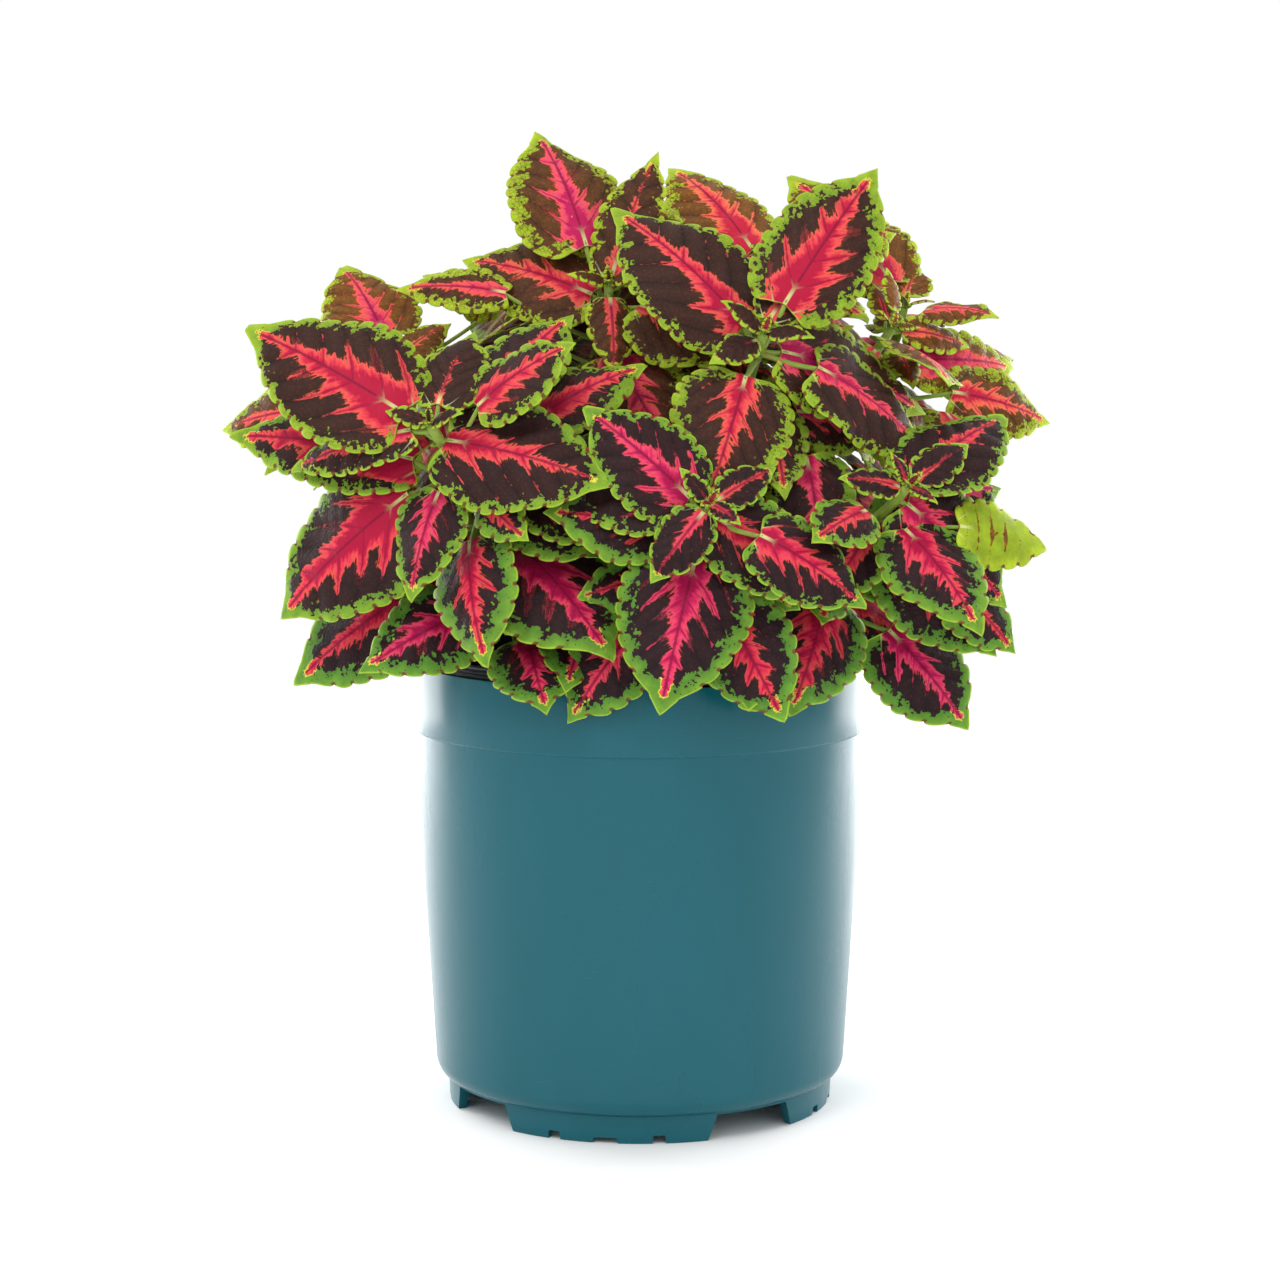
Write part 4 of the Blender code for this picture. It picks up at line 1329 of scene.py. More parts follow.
@dataclass
class Foliage:
    """The leafy stems: square stems, petioles and blades. Sizes are in millimetres."""

    growth: Growth = field(default_factory=Growth)
    seating: Seating = field(default_factory=Seating)
    seed: int = 5
    scallop_pitch: float = 5.3
    scallops: tuple[int, int] = (5, 12)
    scallop_depth: float = 0.24
    scallop_steps: int = 6
    columns: int = 7
    small: float = 44.0
    thickness: tuple[float, float] = (0.6, 0.32)
    swell: tuple[float, float] = (1.06, 1.2)
    heart: float = 0.10
    tip_narrowing: float = 0.42
    # blades from this length on have the full relief, whose heights follow
    full_length: float = 55.0
    quilting: float = 0.95
    midrib: float = 0.5
    lobe_lift: float = 0.5
    ripple: float = 0.9
    # how much broader the green edge is at the tip
    tip_margin: float = 6.5
    bud_length: float = 7.0
    bud_spread: tuple[float, float] = (44.0, 18.0)
    stem_r: tuple[float, float] = (3.1, 1.9)
    stem_rings: int = 26
    stem_sides: int = 16
    stalk_r: float = 0.6
    stalk_r_per_length: float = 0.011
    # least distance between the spots of a filling leaf and those of others
    filling_room: float = 7.0
    # filling leaves keep out of this radius below this height, where the pot stands
    rim_room: tuple[float, float] = (88.0, 172.0)
    hang_tip_z: float = 174.0
    # ages go by the distance below the tip, and grown leaves below old_z are old
    bud_drop: float = 4.0
    young_drop: float = 12.0
    old_z: float = 215.0
    # painted backlight: leaves get more of it the higher they are and the farther back
    painted_backlight_z: tuple[float, float] = (190, 275)
    painted_backlight_y: tuple[float, float] = (-45, 5)
    slot: str = "coleus_leaf"

    def outline(self, blade: Blade) -> tuple[np.ndarray, np.ndarray, np.ndarray, np.ndarray]:
        """Return the rows of a blade.

        Args:
            blade: the placed blade.

        Returns:
            Shares of the length, plain half widths and scalloped half widths in metres, and
            lobes, which are 0 at a notch and 1 at a scallop's middle.
        """
        length = blade.leaf.length
        lobes = int(np.clip(round(length / self.scallop_pitch), *self.scallops))
        u = np.linspace(0, 1, lobes * self.fineness(length)[0] + 1)
        t = u ** 1.3
        phase = (u * lobes) % 1.0
        lobe = np.abs(np.sin(math.pi * phase ** 0.85)) ** 0.55
        fade = 1 - smooth(t, 0.84, 0.92)
        lobe = 1 - (1 - lobe) * fade
        plain = blade.half_width(t, self.broad(length))
        plain = plain * (1 - self.tip_narrowing * smooth(t, 0.74, 0.96))
        depth = self.scallop_depth * length / lobes * MM * (0.4 + 0.6 * smooth(t, 0.02, 0.2))
        half = np.maximum(plain - depth * (1 - lobe), 0.3 * plain)
        return t, plain, half, lobe

    def fineness(self, length: float) -> tuple[int, int]:
        """Return how finely a blade is divided, which is less for a small one.

        Args:
            length: the blade's length.

        Returns:
            Rows for each scallop, and columns on each side of the midrib.
        """
        if length < self.small:
            return self.scallop_steps - 1, self.columns - 2
        return self.scallop_steps, self.columns

    def broad(self, length: float) -> float:
        """Return how much fuller a blade's base is than the frame's plain outline."""
        return 0.12 * float(smooth(length, 24, 42))

    def blade_skin(self, skin: Skin, blade: Blade, rng: np.random.Generator,
                   look: tuple[float, float, float]) -> None:
        """Add one blade, as a thin closed leaf with relief and markings.

        Args:
            skin: what gathers the stem's mesh.
            blade: the placed blade.
            rng: the leaf's random numbers.
            look: the flame's reach, the share of painted backlight and the green edge's width.
        """
        length = blade.leaf.length
        reach, painted_backlight, margin_mm = look
        rows_t, plain, half, lobe = self.outline(blade)
        columns = self.fineness(length)[1]
        spread = (np.arange(1, columns + 1) / columns) ** 0.86
        s = np.concatenate([-spread[::-1], [0], spread])[None, :]
        rows, cols = len(rows_t), s.size
        t = np.repeat(rows_t[:, None], cols, 1)
        lobe = lobe[:, None] * np.ones_like(t)
        side = s * (plain[:, None] + (half - plain)[:, None] * np.abs(s) ** 5)
        heart = self.heart * float(smooth(length, 20, 42))
        t = t - heart * np.abs(s) ** 1.6 * (1 - np.exp(-t / 0.012)) * np.exp(-t / 0.13)
        point, normal = blade.surface(t, side)

        out_mm = np.abs(side) / MM
        ratio = out_mm / length
        veins = VEIN_COUNT * (t - 0.8 * ratio - 1.3 * ratio ** 2) + 0.4
        gap = np.abs(veins - np.round(veins))
        rim_share = 1 - np.abs(s) ** 4
        size = min(1.0, length / self.full_length)
        pillow = (smooth(gap, 0.0, 0.34) - 0.5) * smooth(out_mm, 0.4, 4) * rim_share
        near_midrib = np.exp(-(out_mm / 0.8) ** 2)
        relief = self.quilting * size * pillow - self.midrib * size * near_midrib
        relief += self.lobe_lift * size * (lobe - 0.6) * np.abs(s) ** 6
        swing = np.sin(8 * t + 3 * np.sign(side) + rng.uniform(0, 6))
        relief += self.ripple * size * swing * np.abs(s) ** 3
        thick = self.thickness[1] + (self.thickness[0] - self.thickness[1]) * rim_share
        ridge = self.midrib * size * near_midrib * (1 - 0.7 * t)
        upper = point + normal * ((relief + thick / 2) * MM)[..., None]
        lower = point + normal * ((relief - thick / 2 - ridge) * MM)[..., None]

        x = t * length
        rim = self.rim_distance(x[:, -1], half / MM, x, side / MM)
        seed = rng.uniform(0, 500)
        margin = margin_mm * (0.35 + 0.65 * size) * (0.8 + 0.2 * t + 0.3 * (lobe - 0.5))
        margin = margin + self.tip_margin * size * smooth(t, 0.83, 0.94)
        one = np.ones_like(t)
        marks = {
            "blade": np.stack([t, s * one, veins], -1),
            "edge": np.stack([rim, lobe, margin], -1),
            "tone": np.stack([reach * one, painted_backlight * one, length * one], -1),
            "place": np.stack([x, side / MM, seed * one], -1),
        }
        marks = {name: np.tile(mark.reshape(-1, 3), (2, 1)) for name, mark in marks.items()}
        grid = np.arange(rows * cols).reshape(rows, cols)
        low = grid + rows * cols
        top = np.stack([grid[:-1, :-1], grid[:-1, 1:], grid[1:, 1:], grid[1:, :-1]], -1)
        top = top.reshape(-1, 4)
        left = np.stack([grid[1:, 0], low[1:, 0], low[:-1, 0], grid[:-1, 0]], -1)
        right = np.stack([grid[:-1, -1], low[:-1, -1], low[1:, -1], grid[1:, -1]], -1)
        faces = np.concatenate([top, top[:, ::-1] + rows * cols, left, right])
        slots = np.repeat([0, 1, 0], [len(top), len(top), len(left) + len(right)])
        points = np.concatenate([upper.reshape(-1, 3), lower.reshape(-1, 3)])
        self.close_ends(skin, points, faces, slots, marks, grid, low)

    def close_ends(self, skin: Skin, points: np.ndarray, faces: np.ndarray, slots: np.ndarray,
                   marks: dict[str, np.ndarray], grid: np.ndarray, low: np.ndarray) -> None:
        """Merge the corners that meet at a blade's base and tip, and add the blade.

        Args:
            skin: what gathers the stem's mesh.
            points: the blade's corners.
            faces: its quads.
            slots: their material slots.
            marks: the corners' markings.
            grid: the numbers of the upper corners.
            low: the numbers of the lower corners.
        """
        target = np.arange(len(points))
        middle = grid.shape[1] // 2
        for row in (grid[0], grid[-1], low[0], low[-1]):
            target[row] = row[middle]
        faces = target[faces]
        kept = np.unique(faces)
        renumber = np.zeros(len(points), int)
        renumber[kept] = np.arange(len(kept))
        faces = renumber[faces]
        corners = np.array([len(set(face)) for face in faces.tolist()])
        good = corners > 2
        skin.add(points[kept], faces[good], slots[good],
                 {name: rows[kept] for name, rows in marks.items()})

    def rim_distance(self, rim_x: np.ndarray, rim_y: np.ndarray, x: np.ndarray,
                     y: np.ndarray) -> np.ndarray:
        """Return how far each point of a blade is from its edge, in millimetres.

        Args:
            rim_x: the edge's places along the midrib.
            rim_y: its distances from the midrib.
            x: each point's place along the midrib.
            y: its signed distance from the midrib.

        Returns:
            The distances, in the shape of x.
        """
        ax, ay = rim_x[:-1], rim_y[:-1]
        dx, dy = np.diff(rim_x), np.diff(rim_y)
        px, py = x.reshape(-1, 1), np.abs(y).reshape(-1, 1)
        share = ((px - ax) * dx + (py - ay) * dy) / (dx * dx + dy * dy + 1e-12)
        share = np.clip(share, 0, 1)
        gap = np.hypot(px - ax - share * dx, py - ay - share * dy).min(1)
        return gap.reshape(x.shape)

    def tube_skin(self, skin: Skin, points: list[Vector], radii: list[float], sides: int,
                  square: float, seed: float) -> None:
        """Add a closed tube with four ridges.

        Args:
            skin: what gathers the stem's mesh.
            points: the tube's route.
            radii: its radius at each point, in metres.
            sides: how many corners a ring has.
            square: how far the sides sink between the ridges, from 0 to 1.
            seed: a number that sets its markings apart.
        """
        angles = np.arange(sides) * 2 * math.pi / sides
        shape = 1 - square * np.sin(2 * angles) ** 2
        ahead = (points[1] - points[0]).normalized()
        right = ahead.orthogonal().normalized()
        corners, marks, distance = [], [], 0.0
        for index, (point, radius) in enumerate(zip(points, radii)):
            before, after = points[max(index - 1, 0)], points[min(index + 1, len(points) - 1)]
            turn = (after - before).normalized()
            right = (right - right.dot(turn) * turn).normalized()
            other = turn.cross(right)
            ring = (np.array(right)[None, :] * np.cos(angles)[:, None]
                    + np.array(other)[None, :] * np.sin(angles)[:, None])
            corners.append(np.array(point) + ring * (radius * shape)[:, None])
            if index:
                distance += (point - points[index - 1]).length / MM
            round_mm = angles * radius / MM
            marks.append(np.stack([np.full(sides, distance), round_mm, np.full(sides, seed)], -1))
        corners += [np.array(points[0])[None, :], np.array(points[-1])[None, :]]
        marks += [marks[0][:1], marks[-1][:1]]
        grid = np.arange(sides * len(points)).reshape(len(points), sides)
        turned = np.roll(grid, -1, 1)
        walls = np.stack([grid[:-1], turned[:-1], turned[1:], grid[1:]], -1).reshape(-1, 4)
        first, last = grid.size, grid.size + 1
        low = np.stack([turned[0], grid[0], np.full(sides, first), np.full(sides, first)], -1)
        high = np.stack([grid[-1], turned[-1], np.full(sides, last), np.full(sides, last)], -1)
        faces = np.concatenate([walls, low, high])
        skin.add(np.concatenate(corners), faces, np.full(len(faces), 2),
                 {"place": np.concatenate(marks)})

    def stalk(self, skin: Skin, blade: Blade, seed: float) -> None:
        """Add a petiole, from inside the stem to the blade's base and on under its midrib.

        Args:
            skin: what gathers the stem's mesh.
            blade: the placed blade.
            seed: a number that sets its markings apart.
        """
        thick = (self.stalk_r + self.stalk_r_per_length * blade.leaf.length) * MM
        end, normal = blade.surface(np.array([0.02, 0.12, 0.26]), np.zeros(3))
        touch = Vector(end[0] - normal[0] * 0.7 * thick)
        reach = (touch - blade.start).length
        points, radii = [], []
        for share in np.linspace(0, 1, 8).tolist():
            sag = Vector((0, 0, -0.04 * reach * math.sin(math.pi * share)))
            points.append(blade.start.lerp(touch, share) + sag)
            radii.append(thick * (1.3 - 0.3 * float(smooth(share, 0, 0.25)) - 0.25 * share))
        for place, up, depth, radius in zip(end[1:], normal[1:], (0.55, 0.4), (0.6, 0.25)):
            points.append(Vector(place - up * (depth * MM + radius * thick)))
            radii.append(radius * thick)
        self.tube_skin(skin, points, radii, 10, 0.12, seed)

    def age(self, drop: float, height: float) -> Age:
        """Return the age of a leaf that has none in its plan.

        Args:
            drop: how far below the tip its stalk starts.
            height: how high its base is.

        Returns:
            The age.
        """
        if drop < self.bud_drop:
            return Age.BUD
        if drop < self.young_drop:
            return Age.YOUNG
        return Age.OLD if height < self.old_z else Age.GROWN

    def look(self, blade: Blade, planned: Leaf,
             rng: np.random.Generator) -> tuple[float, float, float]:
        """Return a leaf's markings from its age and its height on the plant, with its painted
        backlight.

        Args:
            blade: the placed blade.
            planned: the leaf's plan.
            rng: the leaf's random numbers.

        Returns:
            The flame's reach, the share of painted backlight and the green edge's width in
            millimetres.
        """
        height = float(blade.base[2]) / MM
        age = planned.age or self.age(planned.drop, height)
        reach, margin = MARKINGS[age]
        # painted backlight: more the higher and the farther back the leaf's base stands
        behind = float(smooth(blade.base[1] / MM, *self.painted_backlight_y))
        lit = float(smooth(height, *self.painted_backlight_z))
        painted_backlight = lit * (0.3 + 0.7 * behind) * rng.uniform(0.75, 1.0)
        # a lime leaf takes the full painted backlight, whose copies also stand for its own lime
        # colour
        if age is Age.LIME:
            return reach, 1.0, margin
        # leaves with more painted backlight also get a wider green edge
        margin *= rng.uniform(0.85, 1.2) * (1 + 0.4 * painted_backlight)
        return reach * rng.uniform(0.65, 1.2), painted_backlight, margin

    def leaves(self, shoot: Shoot) -> list[tuple[Leaf, Blade]]:
        """Return the leaves that the frame holds on a shoot, with their places.

        Args:
            shoot: the shoot's plan.

        Returns:
            Pairs of plan and blade.
        """
        mesh = frame["nodes"][shoot.name].data
        tree = BVHTree.FromPolygons([v.co for v in mesh.vertices],
                                    [tuple(p.vertices) for p in mesh.polygons])
        route = self.growth.route(shoot)
        found = []
        for planned in shoot.leaves:
            blade = self.seating.find(self.growth, shoot, planned, route, tree)
            if blade is not None:
                swell = min(self.swell[0] * planned.length / blade.leaf.length, self.swell[1])
                blade.leaf.length *= swell
                blade.leaf.width *= swell
                found.append((planned, blade))
        return found

    def buds(self, shoot: Shoot) -> list[tuple[Leaf, Blade]]:
        """Return the two smallest pairs of leaves at a shoot's tip.

        Args:
            shoot: the shoot's plan.

        Returns:
            Pairs of plan and blade.
        """
        first = shoot.leaves[0]
        route = self.growth.route(shoot)
        made = []
        lengths = (0.5 * first.length, self.bud_length)
        for pair, (length, spread) in enumerate(zip(lengths, self.bud_spread)):
            for half in (0, 180):
                leaf = Leaf(first.turn + 90 * (pair + 1) + half, 0.6, 1.2, length,
                            0.5 * length, spread, bend=50, age=Age.BUD)
                made.append((leaf, Blade.grow(self.growth, shoot, leaf, route)))
        return made

    def spots(self, blade: Blade) -> np.ndarray:
        """Return nine points spread over a blade.

        Args:
            blade: the placed blade.

        Returns:
            Rows of points in metres, three across the blade at a time, from base to tip.
        """
        t, side = np.meshgrid((0.2, 0.5, 0.85), (-0.6, 0.0, 0.6))
        rows = blade.surface(t, side * blade.half_width(t))[0]
        return rows.transpose(1, 0, 2).reshape(-1, 3)

    def fits(self, spots: np.ndarray, tier: Tier) -> bool:
        """Return whether a filling leaf stays inside the solids' box and clear of the pot.

        Args:
            spots: nine points of the blade in metres; the eighth is on its midrib near the tip.
            tier: the leaf's group.

        Returns:
            Whether it may stand there.
        """
        low, high = np.array(CAD_BOX[0]), np.array(CAD_BOX[1])
        low[2] = tier.lowest * MM
        rim_r, rim_z = self.rim_room
        clear = np.hypot(spots[:, 0], spots[:, 1]) > rim_r * MM
        hung = not tier.hangs or spots[7, 2] < self.hang_tip_z * MM
        boxed = (spots > low).all() and (spots < high).all()
        return bool(boxed and hung and (clear | (spots[:, 2] > rim_z * MM)).all())

    def filling(self, shoot: Shoot, taken: list[np.ndarray],
                draw: random.Random) -> list[tuple[Leaf, Blade]]:
        """Return leaves that fill a shoot, where the others leave room.

        Args:
            shoot: the shoot's plan.
            taken: the spots of the blades that are already there, which grows.
            draw: the random numbers.

        Returns:
            Pairs of plan and blade.
        """
        route = self.growth.route(shoot)
        made = []
        for tier in TIERS:
            wanted = len(made) + tier.count
            for _ in range(tier.tries):
                leaf = tier.leaf(draw)
                blade = Blade.grow(self.growth, shoot, leaf, route)
                spots = self.spots(blade)
                if len(made) == wanted or not self.fits(spots, tier):
                    continue
                gaps = np.linalg.norm(spots[:, None] - np.concatenate(taken)[None], axis=-1)
                if gaps.min() > self.filling_room * MM:
                    taken.append(spots)
                    made.append((leaf, blade))
        return made

    def build(self, materials: list[bpy.types.Material]) -> None:
        """Build every leafy stem.

        Args:
            materials: the upper face's, the lower face's and the stem's material.
        """
        rng = np.random.default_rng(self.seed)
        draw = random.Random(self.seed)
        shoots = FRONT_SHOOTS + back_shoots()
        grown = {shoot.name: self.leaves(shoot) for shoot in shoots}
        taken = [self.spots(blade) for found in grown.values() for _, blade in found]
        for shoot in shoots:
            found = grown[shoot.name]
            filling = self.filling(shoot, taken, draw)
            LOG.info("%s: %d leaves of the frame, %d filling leaves", shoot.name, len(found),
                     len(filling))
            skin = Skin()
            share = np.linspace(0, 1, self.stem_rings)
            points = [self.growth.foot(shoot)] + self.growth.knots(shoot, share)
            taper = np.concatenate([[0.0], share]) ** 1.3
            radii = [(self.stem_r[0] + (self.stem_r[1] - self.stem_r[0]) * k) * MM
                     for k in taper.tolist()]
            self.tube_skin(skin, points, radii, self.stem_sides, 0.2, rng.uniform(0, 500))
            route = self.growth.route(shoot)
            sprigs = [sprig.grow(self.growth, route) for sprig in SPRIGS
                      if sprig.shoot == shoot.name]
            for planned, blade in found + self.buds(shoot) + filling + sprigs:
                self.blade_skin(skin, blade, rng, self.look(blade, planned, rng))
                self.stalk(skin, blade, rng.uniform(0, 500))
            seat(skin.piece("leafy_" + shoot.name, materials), self.slot, shoot.name)


@dataclass
class NurseryPot:
    """The moulded pot: grooved dark lip, collar, plain side and notched foot. Millimetres."""

    height: float = 166.0
    band_top: float = 161.4
    collar_z: float = 137.6
    collar_r: float = 82.8
    lip_r: float = 82.2
    body_top_r: float = 82.0
    body_low_r: float = 74.7
    corner_top: float = 17.0
    corner_r: float = 5.5
    foot_height: float = 9.7
    foot_r: float = 70.2
    foot_width: float = 3.8
    foot_draft: float = 0.5
    wall: float = 1.5
    floor_fillet: float = 3.0
    steps: int = 192
    foot_count: int = 4
    first_gap: float = 35.0
    gap: tuple[float, float, float] = (37.0, 30.0, 9.2)
    mid_notch: tuple[float, float] = (9.0, 2.0)
    side_notch: tuple[float, float] = (5.0, 3.0)
    side_notch_turn: float = 15.5
    drain_r: float = 4.0
    drain_ring: float = 48.0
    slot: str = "pot_plastic"

    def body_radius(self, z: float) -> float:
        """Return the outer radius of the straight side at a height."""
        share = (z - self.corner_top) / (self.collar_z - self.corner_top)
        return self.body_low_r + share * (self.body_top_r - self.body_low_r)

    def outer_radius(self, z: float) -> float:
        """Return the outer radius, also in the rounded lower corner.

        Args:
            z: the height.

        Returns:
            The radius.
        """
        if z > self.corner_top:
            return self.body_radius(z)
        share = min(1.0, (self.corner_top - z) / (self.corner_top - self.foot_height))
        return self.body_low_r - self.corner_r * (1 - math.sqrt(1 - share * share))

    def inner_radius(self, z: float) -> float:
        """Return the inner radius at a height."""
        return min(self.body_radius(z), self.body_top_r) - self.wall

    def profile(self) -> list[tuple[float, float]]:
        """Draw the section: down the outside, under the floor and up the inside.

        Returns:
            A closed row of radii and heights.
        """
        points = [(self.lip_r - 0.9, self.height)]
        points += [(self.lip_r - 0.4, self.height - 0.1), (self.lip_r, self.height - 0.5)]
        for z in np.linspace(self.height - 0.9, self.band_top + 0.5, 22):
            turn = (self.height - 0.9 - z) / 1.2 * 2 * math.pi
            points.append((self.lip_r - 0.25 + 0.25 * math.cos(turn), float(z)))
        points += [
            (self.lip_r - 0.7, self.band_top + 0.25),
            (self.collar_r - 0.45, self.band_top + 0.05),
            (self.collar_r - 0.12, self.band_top - 0.1),
            (self.collar_r, self.band_top - 0.45),
            (self.collar_r, self.collar_z + 0.5),
            (self.collar_r - 0.1, self.collar_z + 0.2),
            (self.collar_r - 0.4, self.collar_z - 0.05),
            (self.body_radius(self.collar_z) + 0.05, self.collar_z - 0.4),
            (self.body_radius(self.collar_z), self.collar_z - 1.0),
        ]
        for z in np.linspace(self.collar_z - 12, self.corner_top + 6, 8):
            points.append((self.body_radius(float(z)), float(z)))
        low, centre = self.corner_top - self.foot_height, self.body_low_r - self.corner_r
        for degrees in range(0, 76, 8):
            angle = math.radians(degrees)
            points.append((centre + self.corner_r * math.cos(angle),
                           self.corner_top - low * math.sin(angle)))
        inner = self.inner_radius(self.corner_top)
        points += [
            (self.foot_r, self.foot_height),
            (self.foot_r - self.foot_draft + 0.02, 0.4),
            (self.foot_r - self.foot_draft - 0.35, 0.0),
            (self.foot_r - self.foot_width + 0.3, 0.0),
            (self.foot_r - self.foot_width - 0.05, 0.35),
            (self.foot_r - self.foot_width - self.foot_draft, self.foot_height),
            (0, self.foot_height),
            (0, self.foot_height + self.wall),
            (inner - self.floor_fillet, self.foot_height + self.wall),
            (inner - 0.9, self.foot_height + self.wall + 1.6),
            (inner, self.corner_top),
            (self.inner_radius(self.collar_z), self.collar_z),
            (self.inner_radius(self.height), self.height - 0.5),
            (self.inner_radius(self.height) + 0.4, self.height),
        ]
        return points + points[:1]

    def cutters(self) -> bpy.types.Collection:
        """Make the solids that open the foot ring and the floor.

        Returns:
            A collection of gap, notch and drain cutters.
        """
        collection = bpy.data.collections.new("pot_cutters")
        middle = self.foot_r - self.foot_width / 2
        deep = 3 * self.foot_width
        for index in range(self.foot_count):
            gap_turn = self.first_gap + index * 360 / self.foot_count
            foot_turn = gap_turn + 180 / self.foot_count
            wide, narrow, high = self.gap
            self.bar(collection, gap_turn, middle - 1, wide, narrow, 1.4 * deep, high)
            for offset, (width, notch) in ((0.0, self.mid_notch),
                                           (-self.side_notch_turn, self.side_notch),
                                           (self.side_notch_turn, self.side_notch)):
                self.bar(collection, foot_turn + offset, middle, width, width - 0.8, deep, notch)
            self.drain(collection, foot_turn)
        return collection

    def place(self, degrees: float, radius: float, height: float) -> Matrix:
        """Return a place round the axis, with its X along the wall.

        Args:
            degrees: the turn round the axis.
            radius: the distance from the axis.
            height: the height.

        Returns:
            The place's matrix in metres.
        """
        return (Matrix.Rotation(math.radians(degrees), 4, "Z")
                @ Matrix.Translation((radius * MM, 0, height * MM))
                @ Matrix.Rotation(math.pi / 2, 4, "Z"))

    def bar(self, collection: bpy.types.Collection, turn: float, radius: float, wide: float,
            narrow: float, deep: float, high: float) -> None:
        """Add a bar whose width shrinks upward, as a cutter.

        Args:
            collection: what gathers the cutters.
            turn: its place round the axis in degrees.
            radius: how far it is from the axis.
            wide: its width at its foot.
            narrow: its width at its top.
            deep: how far it goes through the wall.
            high: how high it reaches above the foot's plane.
        """
        work = bmesh.new()
        bmesh.ops.create_cube(work, size=1.0, matrix=Matrix.Translation((0, 0, 0.5)))
        for vert in work.verts:
            width = narrow if vert.co.z > 0.5 else wide
            vert.co = Vector((vert.co.x * width, vert.co.y * deep, vert.co.z * (high + 1))) * MM
        upright = [e for e in work.edges if all(v.co.z > high * MM / 2 for v in e.verts)]
        upright = [e for e in upright if abs(e.verts[0].co.x - e.verts[1].co.x) < 0.1 * MM]
        bmesh.ops.bevel(work, geom=upright, offset=0.5 * MM, segments=3, affect="EDGES",
                        profile=0.5)
        self.cutter(collection, work, self.place(turn, radius, -1))

    def drain(self, collection: bpy.types.Collection, turn: float) -> None:
        """Add a round cutter for a drain hole.

        Args:
            collection: what gathers the cutters.
            turn: its place round the axis in degrees.
        """
        work = bmesh.new()
        bmesh.ops.create_cone(work, cap_ends=True, segments=24, radius1=self.drain_r * MM,
                              radius2=self.drain_r * MM, depth=5 * MM)
        self.cutter(collection, work, self.place(turn, self.drain_ring, self.foot_height + 1))

    def cutter(self, collection: bpy.types.Collection, work: bmesh.types.BMesh,
               place: Matrix) -> None:
        """Turn a work mesh into a cutter in its place.

        Args:
            collection: what gathers the cutters.
            work: the mesh, which is freed.
            place: the cutter's place.
        """
        mesh = bpy.data.meshes.new("cutter")
        work.to_mesh(mesh)
        work.free()
        mesh.transform(place)
        collection.objects.link(bpy.data.objects.new("cutter", mesh))

    def build(self, sleeve: bpy.types.Material, lip: bpy.types.Material) -> None:
        """Build the pot.

        Args:
            sleeve: the outside's material.
            lip: the lip's and the inside's material.
        """
        mesh = bpy.data.meshes.new("nursery_pot")
        points = [(r * MM, 0.0, z * MM) for r, z in self.profile()]
        mesh.from_pydata(points, [(i, i + 1) for i in range(len(points) - 1)], [])
        pot = new_object("nursery_pot", mesh)
        screw = pot.modifiers.new("turn", "SCREW")
        screw.steps = screw.render_steps = self.steps
        screw.use_merge_vertices = True
        screw.merge_threshold = 0.00001
        holes = self.cutters()
        cut = pot.modifiers.new("cut", "BOOLEAN")
        cut.operation = "DIFFERENCE"
        cut.operand_type = "COLLECTION"
        cut.collection = holes
        graph = bpy.context.evaluated_depsgraph_get()
        done = bpy.data.meshes.new_from_object(pot.evaluated_get(graph))
        pot.modifiers.clear()
        pot.data = done
        for tool in list(holes.objects):
            bpy.data.objects.remove(tool)
        bpy.data.collections.remove(holes)
        done.materials.clear()
        done.materials.append(sleeve)
        done.materials.append(lip)
        for face in done.polygons:
            radius = math.hypot(face.center.x, face.center.y) / MM
            z = face.center.z / MM
            inside = z > self.foot_height + 1 and radius < self.outer_radius(z) - 1.0
            face.material_index = 1 if z > self.band_top + 0.15 or inside else 0
        done.shade_smooth()
        done.set_sharp_from_angle(angle=math.radians(32))
        seat(pot, self.slot, "pot")


